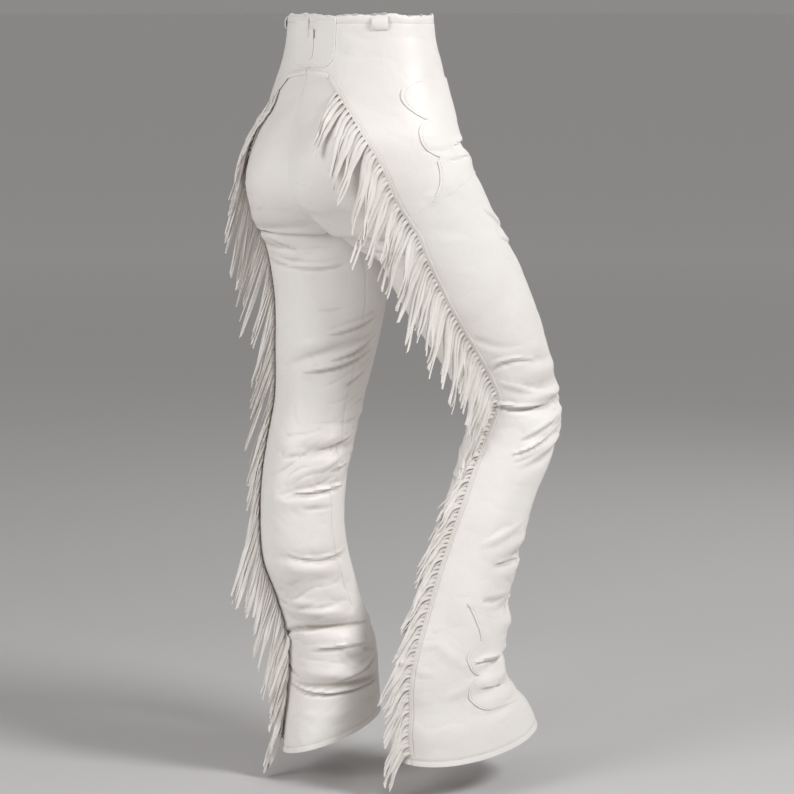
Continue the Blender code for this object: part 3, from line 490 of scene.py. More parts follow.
RIGHT_CREASES = (
    Crease((90, -0.2020), (106, -0.2002), (140, -0.1968), 0.0050, 0.0024),
    Crease((76, -0.1870), (87, -0.1892), (100, -0.1844), 0.0040, 0.0012, Form.TROUGH),
    Crease((98, -0.1850), (114, -0.1798), (146, -0.1760), 0.0055, 0.0034),
    Crease((45, -0.4566), (60, -0.4722), (90, -0.4746), 0.0080, 0.0016, Form.TROUGH),
    Crease((45, -0.5136), (67, -0.4988), (102, -0.5000), 0.0055, 0.0034),
    Crease((47, -0.5292), (72, -0.5398), (116, -0.5540), 0.0065, 0.0032, Form.RIDGE),
    Crease((27, -0.5608), (58, -0.5696), (116, -0.5668), 0.0050, 0.0052),
    Crease((41, -0.5710), (60, -0.5750), (94, -0.5702), 0.0035, 0.0030, Form.TROUGH),
    Crease((62, -0.6168), (88, -0.6042), (122, -0.5800), 0.0065, 0.0030),
    Crease((56, -0.6380), (89, -0.6264), (136, -0.5930), 0.0060, 0.0040),
    Crease((61, -0.6496), (82, -0.6426), (108, -0.6284), 0.0050, 0.0020, Form.TROUGH),
    Crease((54, -0.7652), (79, -0.7542), (114, -0.7350), 0.0090, 0.0030, Form.RIDGE),
    Crease((80, -0.7958), (104, -0.7946), (142, -0.7954), 0.0055, 0.0036),
    Crease((76, -0.8446), (92, -0.8480), (124, -0.8464), 0.0060, 0.0030, Form.TROUGH),
    Crease((78, -0.9374), (100, -0.9338), (142, -0.9400), 0.0050, 0.0056),
    Crease((84, -0.9734), (104, -0.9756), (136, -0.9842), 0.0045, 0.0028),
    Crease((31, -0.8988), (51, -0.9198), (74, -0.9420), 0.0100, 0.0024, Form.RIDGE),
    Crease((44, -0.9860), (65, -0.9722), (82, -0.9584), 0.0120, 0.0020, Form.RIDGE),
    Crease((-66, -0.5560), (-22, -0.5660), (14, -0.5560), 0.0065, 0.0046),
    Crease((-60, -0.5900), (-24, -0.6010), (10, -0.5900), 0.0060, 0.0038),
    Crease((-70, -0.5340), (-30, -0.5360), (8, -0.5300), 0.0060, 0.0028),
    Crease((-60, -0.6700), (-20, -0.6760), (6, -0.6680), 0.0060, 0.0022),
    Crease((-66, -0.8300), (-30, -0.8360), (0, -0.8280), 0.0060, 0.0024),
    Crease((-66, -0.9380), (-30, -0.9460), (2, -0.9340), 0.0055, 0.0036),
    Crease((140, -0.8000), (190, -0.8100), (240, -0.8000), 0.0060, 0.0026),
    Crease((150, -0.9300), (195, -0.9420), (245, -0.9320), 0.0055, 0.0038),
    Crease((172, -0.3160), (140, -0.2980), (106, -0.2700), 0.0065, 0.0030),
    Crease((186, -0.3380), (150, -0.3300), (114, -0.3120), 0.0060, 0.0024),
    Crease((236, -0.3560), (200, -0.3640), (160, -0.3580), 0.0060, 0.0024),
    Crease((40, -0.3280), (6, -0.3350), (-40, -0.3300), 0.0060, 0.0024),
)


@dataclass
class Surface:
    """One half of the garment: a smooth outer surface of rings stacked from the waist to the hem.

    Angles go round a ring: 0 at the back, 90 at the outer side, 180 at the front, and 270, or -90,
    at the inner leg. The middle plane cuts a ring above the crotch.
    """

    name: str
    sign: int
    leg: tuple
    pose: tuple
    seam: tuple
    folds: tuple
    hang: tuple
    hem: tuple[float, float, float]
    creases: tuple = ()
    rumples: tuple = ()

    def ring(self, height: np.ndarray) -> list[np.ndarray]:
        """The ring's centre and half sizes at each height."""
        levels = ((-0.007, 0.25), (0.0, 0.5), (0.007, 0.25))
        rings = TORSO + self.leg
        centre, width, front, back = (
            sum(weight * along(rings, height + step, c) for step, weight in levels) for c in (1, 2, 3, 4)
        )
        return [np.maximum(centre, 0.0), width, front, back]

    def inner_angle(self, height: np.ndarray) -> np.ndarray:
        """How far past the back the ring goes before the middle plane cuts it, 90 at most."""
        centre, width, _, _ = self.ring(height)
        return np.degrees(np.arcsin(np.clip(centre / width, 0.0, 1.0)))

    def seam_angle(self, height: np.ndarray) -> np.ndarray:
        """Where the fringed seam lies at each height."""
        return along(self.seam, height, 1)

    def fold_depth(self, angle: np.ndarray, height: np.ndarray) -> np.ndarray:
        """How far the folds and creases move the surface out at each point."""
        seam_turn = (angle - self.seam_angle(height) + 180.0) % 360.0 - 180.0
        beside_seam = smooth(np.abs(seam_turn) / 16.0)
        out = np.zeros_like(angle)
        for level, middle, half_length, climb, reach, depth in self.folds:
            turn = (angle - middle + 180.0) % 360.0 - 180.0
            line = level + climb * turn / 90.0
            fade = np.where(np.abs(turn) < half_length, np.cos(np.pi / 2 * turn / half_length) ** 2, 0.0)
            out += depth * fade * beside_seam * np.exp(-(((height - line) / reach) ** 2))
        centre, width, _, _ = self.ring(height)
        across = np.abs(centre + width * np.sin(np.radians(angle)))
        beside_middle = smooth(across / 0.024 + np.maximum(0.0, CROTCH - height) / 0.020)
        for crease in self.creases:
            out += crease.depth_at(angle, height) * beside_middle
        for rumple in self.rumples:
            out += rumple.depth_at(angle, height) * beside_seam * beside_middle
        return out

    def seat_crease(self, across: np.ndarray, height: np.ndarray) -> np.ndarray:
        """The soft hollow that the centre-back seam draws in the seat, and the fullness beside it."""
        level = np.exp(-(((height + 0.235) / 0.070) ** 2))
        full = np.exp(-(((across - 0.078) / 0.048) ** 2))
        return level * (0.014 * full - 0.010 * np.exp(-((across / 0.030) ** 2)))

    def point(self, angle: np.ndarray, height: np.ndarray) -> np.ndarray:
        """Points of the outer surface, one row each."""
        angle, height = np.broadcast_arrays(np.asarray(angle, float), np.asarray(height, float))
        centre, width, front, back = self.ring(height)
        turn = np.radians(angle)
        out, rear = np.sin(turn), np.cos(turn)
        fold = self.fold_depth(angle, height)
        x = (width + fold) * out
        y = (np.where(rear > 0, back, front) + fold) * rear
        y += np.where(rear > 0, self.seat_crease(centre + x, height) * rear, 0.0)
        spin = np.radians(along(self.pose, height, 2))
        x, y = x * np.cos(spin) - y * np.sin(spin), y * np.cos(spin) + x * np.sin(spin)
        x = x + centre
        near_middle = (np.abs(x) + np.maximum(0.0, CROTCH - height)) / 0.085
        y = y - along(self.pose, height, 1) * smooth(near_middle)
        flare = smooth((FLARE_TOP - height) / (FLARE_TOP - HEM))
        lowest, up, rise = self.hem
        lifted = up + rise * (1 - np.cos(turn - math.radians(lowest))) / 2
        wave = smooth(1 + height / 0.02) * (
            0.0012 * np.sin(5 * turn * self.sign + 0.6) + 0.0009 * np.sin(11 * turn * self.sign + 1.9)
        )
        ragged = smooth(1 + height / 0.006) * (
            0.0011 * np.sin(23 * turn + 0.4) * np.sin(7 * turn) + 0.0006 * np.sin(47 * turn * self.sign + 2.0)
        )
        wave = wave + ragged
        return np.stack([self.sign * x, y, height + flare * lifted + wave], axis=-1)

    def normal(self, angle: np.ndarray, height: np.ndarray) -> np.ndarray:
        """The outward direction at each point."""
        angle, height = np.broadcast_arrays(np.asarray(angle, float), np.asarray(height, float))
        round_it = self.point(angle + 0.5, height) - self.point(angle - 0.5, height)
        down_it = self.point(angle, height - 0.0015) - self.point(angle, height + 0.0015)
        way = np.cross(round_it, down_it) * self.sign
        return way / np.linalg.norm(way, axis=-1, keepdims=True)

    def moved_out(self, angle: np.ndarray, height: np.ndarray, distance: float | np.ndarray) -> np.ndarray:
        """Points a distance outside the surface."""
        away = np.asarray(distance, float)[..., None]
        return self.point(angle, height) + self.normal(angle, height) * away

    def degrees_for(self, length: float, angle: np.ndarray, height: np.ndarray) -> np.ndarray:
        """The turn that covers a length round the surface."""
        step = np.linalg.norm(self.point(angle + 1.0, height) - self.point(angle - 1.0, height), axis=-1) / 2
        return length / step


@dataclass(frozen=True)
class Finish:
    """A leather finish made of nodes: patches of tone, a pebbled grain, soft rumples, and painted shade read from a
    point attribute.
    """

    name: str
    light: tuple[float, float, float]
    dark: tuple[float, float, float]
    # The colour that painted shade in hollows darkens towards; 0.3 of it is the painted shadow in gaps.
    hollow: tuple[float, float, float]
    roughness: float
    grain: float
    grain_depth: float
    rumple_depth: float
    sheen: float = 0.0

    def material(self) -> bpy.types.Material:
        """Builds the material.

        Returns:
            A new material, or the one of this name that exists.
        """
        if self.name in bpy.data.materials:
            return bpy.data.materials[self.name]
        made = bpy.data.materials.new(self.name)
        made.use_nodes = True
        tree = made.node_tree
        shader = tree.nodes["Principled BSDF"]
        shader.inputs["IOR"].default_value = 1.46
        shader.inputs["Sheen Weight"].default_value = self.sheen
        shader.inputs["Subsurface Weight"].default_value = 0.0
        place = tree.nodes.new("ShaderNodeTexCoord").outputs["Object"]

        def noise(scale: float, detail: float, distortion: float = 0.0) -> bpy.types.NodeSocket:
            """A noise over the leather, in patches of a size."""
            node = tree.nodes.new("ShaderNodeTexNoise")
            node.inputs["Scale"].default_value = scale
            node.inputs["Detail"].default_value = detail
            node.inputs["Distortion"].default_value = distortion
            tree.links.new(place, node.inputs["Vector"])
            return node.outputs["Fac"]

        def spread(source: bpy.types.NodeSocket, low: float, high: float, to_low: float, to_high: float):
            """Stretches a value from one range to another."""
            node = tree.nodes.new("ShaderNodeMapRange")
            for name, value in zip(("From Min", "From Max", "To Min", "To Max"), (low, high, to_low, to_high)):
                node.inputs[name].default_value = value
            tree.links.new(source, node.inputs["Value"])
            return node.outputs["Result"]

        def blend(share: bpy.types.NodeSocket, first, second) -> bpy.types.NodeSocket:
            """Mixes two colours, either of which may be a socket."""
            node = tree.nodes.new("ShaderNodeMix")
            node.data_type = "RGBA"
            tree.links.new(share, node.inputs["Factor"])
            for socket, colour in ((node.inputs[6], first), (node.inputs[7], second)):
                if isinstance(colour, tuple):
                    socket.default_value = (*colour, 1.0)
                else:
                    tree.links.new(colour, socket)
            return node.outputs[2]

        patches = blend(spread(noise(7.0, 3.0, 0.6), 0.36, 0.66, 0.0, 1.0), self.light, self.dark)
        # Painted shade read from a point attribute: crease hollows darken towards the hollow colour, and values above 1
        # darken towards 0.3 of it as painted shadow in gaps.
        painted_shade_and_tone = tree.nodes.new("ShaderNodeAttribute")
        painted_shade_and_tone.attribute_name = "painted_shade_and_tone"
        hollow = spread(painted_shade_and_tone.outputs["Fac"], 0.1, 1.0, 0.0, 0.62)
        gap = spread(painted_shade_and_tone.outputs["Fac"], 1.0, 1.9, 0.0, 0.85)
        gap_shadow = tuple(0.30 * share for share in self.hollow)
        tree.links.new(blend(gap, blend(hollow, patches, self.hollow), gap_shadow), shader.inputs["Base Color"])
        rough = spread(noise(38.0, 2.0), 0.3, 0.7, self.roughness - 0.06, self.roughness + 0.07)
        tree.links.new(rough, shader.inputs["Roughness"])

        pebble = tree.nodes.new("ShaderNodeTexVoronoi")
        pebble.feature = "SMOOTH_F1"
        pebble.inputs["Scale"].default_value = self.grain
        tree.links.new(place, pebble.inputs["Vector"])
        normal = None
        for source, distance, strength in (
            (noise(42.0, 3.0, 0.8), self.rumple_depth, 0.75),
            (noise(190.0, 2.0, 0.3), self.rumple_depth * 0.22, 0.5),
            (pebble.outputs["Distance"], self.grain_depth, 0.35),
        ):
            bump = tree.nodes.new("ShaderNodeBump")
            bump.inputs["Strength"].default_value = strength
            bump.inputs["Distance"].default_value = distance
            tree.links.new(source, bump.inputs["Height"])
            if normal is not None:
                tree.links.new(normal, bump.inputs["Normal"])
            normal = bump.outputs["Normal"]
        tree.links.new(normal, shader.inputs["Normal"])
        return made


@dataclass(frozen=True)
class Metal:
    """A satin metal finish with fine scratches."""

    name: str
    colour: tuple[float, float, float]
    roughness: float

    def material(self) -> bpy.types.Material:
        """Builds the metal's material."""
        made = bpy.data.materials.new(self.name)
        made.use_nodes = True
        tree = made.node_tree
        shader = tree.nodes["Principled BSDF"]
        shader.inputs["Base Color"].default_value = (*self.colour, 1.0)
        shader.inputs["Metallic"].default_value = 1.0
        place = tree.nodes.new("ShaderNodeTexCoord").outputs["Object"]
        scratch = tree.nodes.new("ShaderNodeTexNoise")
        scratch.inputs["Scale"].default_value = 900.0
        tree.links.new(place, scratch.inputs["Vector"])
        spread = tree.nodes.new("ShaderNodeMapRange")
        spread.inputs["To Min"].default_value = self.roughness - 0.08
        spread.inputs["To Max"].default_value = self.roughness + 0.12
        tree.links.new(scratch.outputs["Fac"], spread.inputs["Value"])
        tree.links.new(spread.outputs["Result"], shader.inputs["Roughness"])
        return made


CREAM = Finish("cream_leather", (0.85, 0.825, 0.80), (0.80, 0.765, 0.73), (0.52, 0.48, 0.44), 0.50, 620.0, 0.00016, 0.0011)
IVORY = Finish("ivory_overlay", (0.86, 0.835, 0.81), (0.82, 0.785, 0.75), (0.54, 0.50, 0.46), 0.48, 680.0, 0.00014, 0.0009)
THONG = Finish("fringe_leather", (0.84, 0.81, 0.775), (0.76, 0.72, 0.68), (0.46, 0.41, 0.37), 0.60, 900.0, 0.00014, 0.0010, 0.15)
THREAD = Finish("waxed_thread", (0.80, 0.78, 0.73), (0.72, 0.69, 0.64), (0.5, 0.5, 0.5), 0.55, 2400.0, 0.00008, 0.0002)
NICKEL = Metal("satin_nickel", (0.72, 0.71, 0.69), 0.30)


def select_only(*pieces: bpy.types.Object) -> None:
    """Deselects everything, then selects the pieces and makes the first active."""
    for other in bpy.context.view_layer.objects:
        other.select_set(False)
    for piece in pieces:
        piece.select_set(True)
    bpy.context.view_layer.objects.active = pieces[0]


def thicken(piece: bpy.types.Object, wall: float, outward: bool, group: str = "") -> None:
    """Gives a skin its thickness, inward or outward, and smooth faces with crisp cut edges."""
    select_only(piece)
    solid = piece.modifiers.new("thickness", "SOLIDIFY")
    solid.thickness = wall
    solid.offset = 1.0 if outward else -1.0
    solid.use_quality_normals = True
    if group:
        solid.vertex_group = group
        solid.thickness_vertex_group = 0.06
    bpy.ops.object.modifier_apply(modifier=solid.name)
    bpy.ops.object.shade_smooth_by_angle(angle=math.radians(46))


def leather_sheet(
    name: str,
    grids: list[np.ndarray],
    sign: int,
    wall: float,
    painted_shade_and_tone: list[np.ndarray] | None = None,
    outward: bool = False,
) -> bpy.types.Object:
    """Lays grids of leather on rows of points, joins them and gives them their thickness.

    Args:
        name: The piece's name.
        grids: Each with rows from the top down, and each row from the back round to the front.
        sign: 1 on the left half and -1 on the right, which decides which way is out.
        wall: The leather's thickness.
        painted_shade_and_tone: Painted shade at each point, 0 to 1 from how deep in a hollow it lies, and up to 2 where
            painted shadow fills a gap.
        outward: Whether the points are the inner skin.

    Returns:
        The finished piece.
    """
    order = slice(None) if sign > 0 else slice(None, None, -1)
    parts = []
    for number, points in enumerate(grids):
        rows, columns = points.shape[:2]
        for other in bpy.context.view_layer.objects:
            other.select_set(False)
        bpy.ops.mesh.primitive_grid_add(x_subdivisions=columns - 1, y_subdivisions=rows - 1, size=1.0)
        part = bpy.context.object
        part.data.vertices.foreach_set("co", points[order].reshape(-1))
        shade = np.zeros((rows, columns)) if painted_shade_and_tone is None else painted_shade_and_tone[number]
        # The painted shade goes on as a point attribute, which the leather's material darkens by.
        attribute = part.data.attributes.new("painted_shade_and_tone", "FLOAT", "POINT")
        attribute.data.foreach_set("value", shade[order].reshape(-1))
        part.data.update()
        parts.append(part)
    select_only(*parts)
    if len(parts) > 1:
        bpy.ops.object.join()
        bpy.ops.object.mode_set(mode="EDIT")
        bpy.ops.mesh.select_all(action="SELECT")
        bpy.ops.mesh.remove_doubles(threshold=0.00002)
        bpy.ops.object.mode_set(mode="OBJECT")
    sheet = bpy.context.object
    sheet.name = sheet.data.name = name
    thicken(sheet, wall, outward)
    return sheet


def dress(piece: bpy.types.Object, finish: Finish | Metal, slot: str, *nodes: str) -> bpy.types.Object:
    """Gives a piece its finish, makes it ride, and says which nodes it stands for."""
    piece.data.materials.clear()
    piece.data.materials.append(finish.material())
    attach(piece, "root")
    if nodes:
        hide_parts(*nodes)
    log.info("%s: %d faces, for %s", piece.name, len(piece.data.polygons), ", ".join(nodes) or "trim")
    return piece


def grid_normals(points: np.ndarray, sign: int) -> np.ndarray:
    """The outward direction at each point of a grid."""
    way = np.cross(np.gradient(points, axis=1), np.gradient(points, axis=0)) * sign
    return way / np.maximum(np.linalg.norm(way, axis=-1, keepdims=True), 1e-12)


def dense(first: float, last: float, count: int, fine: tuple[float, ...]) -> np.ndarray:
    """Values from first to last, with closer ones beside both ends."""
    way = 1 if last > first else -1
    inside = np.linspace(first + fine[-1] * way, last - fine[-1] * way, count + 2)[1:-1]
    ends = np.array(fine) * way
    return np.concatenate([first + ends, inside, last - ends[::-1]])


@dataclass
class Panel:
    """A cut of leather over part of a surface, between two edges and two heights."""

    surface: Surface
    name: str
    node: str
    flat: tuple[float, float]
    flat_area: float
    columns: int = 78
    rows: int = 300

    def heights(self) -> np.ndarray:
        """Heights of the rows, from the top down."""
        yoke = dense(0.0, YOKE_CORNER, 26, (0.0, 0.001, 0.002, 0.0035, 0.006, 0.009, 0.011, 0.013))
        leg = dense(YOKE_CORNER, HEM, self.rows, (0.0, 0.0015, 0.003, 0.005, 0.007, 0.009, 0.011, 0.014, 0.018))
        return np.concatenate([yoke, leg[1:]])

    def edges(self, height: np.ndarray) -> tuple[np.ndarray, np.ndarray]:
        """The back and front edges at each height, half a seam gap in."""
        back = self.surface.seam_angle(np.minimum(height, YOKE_CORNER))
        front = 180.0 + self.surface.inner_angle(height)
        half = self.surface.degrees_for(SEAM_GAP / 2, back, height)
        return back + half, front - half

    def yoke_places(self) -> tuple[np.ndarray, np.ndarray, np.ndarray]:
        """The same for the yoke behind the seam, down to its sloping lower edge."""
        height = self.heights()
        height = height[height > YOKE_CORNER - 1e-6]
        back, _ = self.edges(height)
        share = np.concatenate([[0, 0.006, 0.014], np.linspace(0.03, 1.0, 46)])
        inner = -self.surface.inner_angle(height)
        inner = inner + self.surface.degrees_for(SEAM_GAP / 2, inner, height)
        angle = inner[:, None] + (back - inner)[:, None] * share[None, :]
        part = height / YOKE_CORNER
        level = part[:, None] * (YOKE_BOTTOM + (YOKE_CORNER - YOKE_BOTTOM) * share)[None, :]
        return angle, level, self.edge_turns(level)

    def places(self) -> tuple[np.ndarray, np.ndarray, np.ndarray]:
        """Angle and height of each point, and how far it moves out beyond the surface."""
        height = self.heights()
        back, front = self.edges(height)
        share = np.concatenate([[0, 0.002, 0.005, 0.009], np.linspace(0.016, 0.984, self.columns), [0.991, 0.995, 0.998, 1]])
        angle = back[:, None] + (front - back)[:, None] * share[None, :]
        level = np.broadcast_to(height[:, None], angle.shape)
        span = (front - back)[:, None] * ROUND
        below = smooth((YOKE_CORNER - height[:, None]) / 0.004)
        move = -0.0010 * below * np.exp(-((share[None, :] * span / 0.0020) ** 2))
        move = move - 0.0005 * np.exp(-(((1 - share)[None, :] * span / 0.0020) ** 2))
        return angle, level, move + self.edge_turns(level)

    @staticmethod
    def edge_turns(height: np.ndarray) -> np.ndarray:
        """The turned waist edge and hem, each with the groove that its sewing draws."""
        waist = -0.0012 * np.exp(-((height / 0.0018) ** 2)) - 0.0007 * np.exp(-(((height + 0.011) / 0.0014) ** 2))
        hem = 0.0005 * np.exp(-(((height - HEM) / 0.005) ** 2)) - 0.0009 * np.exp(-(((height - HEM - 0.0085) / 0.0014) ** 2))
        return waist + hem

    def shaded(self, angle: np.ndarray, height: np.ndarray) -> np.ndarray:
        """Extra painted shadow on edges that lie in a hollow."""
        return np.zeros(angle.shape)

    def laid(self, angle: np.ndarray, height: np.ndarray, move: np.ndarray) -> tuple[np.ndarray, np.ndarray]:
        """Points of a grid of places, and painted shade from how deep in a crease each lies.

        Args:
            angle: Ring angles.
            height: Ring heights.
            move: How far each point moves out.

        Returns:
            The points and their painted shades.
        """
        points = self.surface.point(angle, height)
        points = points + grid_normals(points, self.surface.sign) * move[..., None]
        depth = self.surface.fold_depth(angle, height) + move
        blurred = np.stack([np.roll(depth, k, axis=0) for k in (-2, -1, 0, 1, 2)]).mean(axis=0)
        # Painted shade: points lying below their blurred neighbours, in crease hollows, are darkened.
        painted_shade_and_tone = np.clip((blurred - depth) / 0.0012, 0, 1)
        painted_shade_and_tone[:4] = painted_shade_and_tone[-4:] = 0
        return points, painted_shade_and_tone

    def build(self, with_pieces: list[bpy.types.Object] | None = None) -> bpy.types.Object:
        angle, height, move = self.places()
        points, painted_shade_and_tone = self.laid(angle, height, move)
        # Painted shade of the creases plus the painted shadow of edges, up to 2 where the shadow is darkest.
        painted_shade_and_tone = np.clip(painted_shade_and_tone + self.shaded(angle, height), 0, 2)
        grids, shades = [points], [painted_shade_and_tone]
        if type(self) is Panel:
            yoke, shade = self.laid(*self.yoke_places())
            yoke[:, -1] = points[: len(yoke), 0]
            grids.append(yoke)
            shades.append(shade)
        piece = leather_sheet(self.name, grids, self.surface.sign, WALL, shades)
        dress(piece, CREAM, "leather", self.node)
        return piece


@dataclass
class RearPanel(Panel):
    """A panel between the inner edge and the fringed seam, below the yoke."""

    top: float = SEAT_BOTTOM
    bottom: float = HEM
    is_seat: bool = False

    def shaded(self, angle: np.ndarray, height: np.ndarray) -> np.ndarray:
        """Painted shadow under the seat's lower edge and under the yoke."""
        if self.is_seat:
            # Painted shadow along the seat's top edge, under the yoke's welt.
            return 2.0 * smooth((height - height[:1, :] + 0.0030) / 0.0018)
        # Painted shadow on the rear leg just below the seat's overhanging lower edge.
        inner, seam = -self.surface.inner_angle(height), self.surface.seam_angle(height)
        window = smooth((seam - angle) / 16.0) * smooth((angle - inner) / 14.0)
        return 2.0 * smooth((height - SEAT_BOTTOM + 0.0105) / 0.003) * window

    def heights(self) -> np.ndarray:
        """Heights of the rows, from the top down."""
        return dense(self.top, self.bottom, self.rows, (0.0, 0.001, 0.0022, 0.0036, 0.0052, 0.007, 0.009, 0.012, 0.016))

    def places(self) -> tuple[np.ndarray, np.ndarray, np.ndarray]:
        """Angle and height of each point, and how far it moves out beyond the surface."""
        height = self.heights()
        inner, seam = -self.surface.inner_angle(height), self.surface.seam_angle(height)
        inner = inner + self.surface.degrees_for(SEAM_GAP / 2, inner, height)
        seam = seam - self.surface.degrees_for(SEAM_GAP / 2, seam, height)
        share = np.concatenate([[0, 0.004, 0.01, 0.018], np.linspace(0.03, 0.97, self.columns), [0.982, 0.99, 0.996, 1]])
        angle = inner[:, None] + (seam - inner)[:, None] * share[None, :]
        level = np.array(np.broadcast_to(height[:, None], angle.shape))
        span = (seam - inner)[:, None]
        window = smooth((1 - share)[None, :] * span / 16.0) * smooth(share[None, :] * span / 14.0)
        inner_roll = 0.00015 if self.is_seat else 0.0005
        move = -inner_roll * np.exp(-((share[None, :] * span * ROUND / 0.002) ** 2))
        move = move - 0.0009 * np.exp(-(((1 - share)[None, :] * span * ROUND / 0.002) ** 2))
        if self.is_seat:
            lift = (YOKE_BOTTOM - YOKE_CORNER) * (1 - share)[None, :] - SEAM_GAP
            level += lift * np.linspace(1, 0, len(height))[:, None] ** 2
            falls = smooth((level - SEAT_BOTTOM - 0.030) / -0.030) * window
            level -= 0.0065 * falls
            edge = np.exp(-(((level - level[-1:, :]) / 0.0035) ** 2))
            move = move + falls * (0.0085 - 0.0030 * edge)
        else:
            move = move - 0.0042 * smooth((height[:, None] - SEAT_BOTTOM + 0.020) / 0.020) * window
            move = move + self.edge_turns(level) * (level < -0.5)
        return angle, level, move


def outline_arc(across: float, height: float, radius: float, start: float, end: float) -> list[tuple[float, float]]:
    """Points round part of a circle, in degrees from across towards up."""
    turns = np.radians(np.linspace(start, end, max(6, round(abs(end - start) / 7))))
    return [(across + radius * math.cos(t), height + radius * math.sin(t)) for t in turns]


@dataclass(frozen=True)
class Ornament:
    """A scalloped outline, the same on both sides of its middle: two lobes, a scoop and a tip."""

    lobes: tuple[tuple[float, float, float], tuple[float, float, float]]
    scoop: tuple[float, float, float]
    tip: float
    dip: float

    def outline(self) -> list[tuple[float, float]]:
        """The outline as (across, height) points.

        Returns:
            Points once round the outline.
        """
        (a1, h1, r1), (a2, h2, r2) = self.lobes
        way = -1 if self.tip < h1 else 1
        cusp = (h1 + h2) / 2
        neck = h2 + way * r2 * 0.97

        def edge_angle(height: float, radius: float, level: float) -> float:
            """Where a lobe's edge is at a level, in degrees."""
            return math.degrees(math.asin(max(-1.0, min(1.0, (level - height) / radius))))

        half = outline_arc(a1, h1, r1, -way * 90, edge_angle(h1, r1, cusp))
        half += outline_arc(a2, h2, r2, edge_angle(h2, r2, cusp), edge_angle(h2, r2, neck))
        sa, sh, sr = self.scoop
        for share in np.linspace(0.08, 1.0, 12):
            height = neck + (self.tip - neck) * share
            half.append((sa - math.sqrt(sr**2 - (height - sh) ** 2), height))
        edge = half[-1][0]
        for share in (0.85, 0.7, 0.52, 0.35, 0.18):
            half.append((edge * share, self.tip + self.dip * (1 - share**2)))
        return half + [(0.0, self.tip + self.dip)] + [(-x, y) for x, y in reversed(half)]


HIP = Ornament(((0.080, -0.119, 0.030), (0.082, -0.170, 0.028)), (0.180, -0.225, 0.0895), -0.280, 0.055)
ANKLE = Ornament(((0.0315, -0.978, 0.028), (0.0295, -0.931, 0.027)), (0.335, -0.925, 0.300), -0.848, -0.024)


def flat_skin(name: str, outline: list[tuple[float, float]], step: float) -> bpy.types.Object:
    """A flat skin inside an outline, cut into small cells so that it can bend.

    Args:
        name: The piece's name.
        outline: Points once round it.
        step: The cells' size.

    Returns:
        The flat piece, with the outline's first axis along X and its second along Y.
    """
    shape = bmesh.new()
    face = shape.faces.new([shape.verts.new((x, y, 0.0)) for x, y in outline])
    face.normal_update()
    if face.normal.z < 0:
        face.normal_flip()
    bmesh.ops.triangulate(shape, faces=shape.faces[:], ngon_method="EAR_CLIP")
    bmesh.ops.dissolve_limit(shape, angle_limit=0.01, verts=[], edges=shape.edges[:])
    spots = np.array(outline)
    for axis in (0, 1):
        way = (1, 0, 0) if axis == 0 else (0, 1, 0)
        for level in np.arange(spots[:, axis].min() + step / 2, spots[:, axis].max(), step):
            where = (level, 0, 0) if axis == 0 else (0, level, 0)
            geometry = shape.verts[:] + shape.edges[:] + shape.faces[:]
            bmesh.ops.bisect_plane(shape, geom=geometry, dist=1e-6, plane_co=where, plane_no=way)
    mesh = bpy.data.meshes.new(name)
    shape.to_mesh(mesh)
    shape.free()
    piece = bpy.data.objects.new(name, mesh)
    bpy.context.scene.collection.objects.link(piece)
    return piece


def place_skin(
    piece: bpy.types.Object, points: np.ndarray, outward: np.ndarray, wall: float, full: np.ndarray | None = None
) -> None:
    """Moves a flat skin's points to their places and gives it thickness away from the leather under it."""
    mesh = piece.data
    mesh.vertices.foreach_set("co", points.reshape(-1))
    mesh.update()
    facing = sum(float(Vector(outward[f.vertices[0]]).dot(f.normal)) for f in mesh.polygons)
    if facing < 0:
        mesh.flip_normals()
    group = ""
    if full is not None:
        group = "full"
        thickness = piece.vertex_groups.new(name=group)
        for index, weight in enumerate(full):
            thickness.add([index], float(weight), "REPLACE")
    thicken(piece, wall, True, group)
    select_only(piece)
    bevel = piece.modifiers.new("cut_edge", "BEVEL")
    bevel.width = 0.00028
    bevel.segments = 2
    bevel.limit_method = "ANGLE"
    bevel.angle_limit = math.radians(55)
    bpy.ops.object.modifier_apply(modifier=bevel.name)


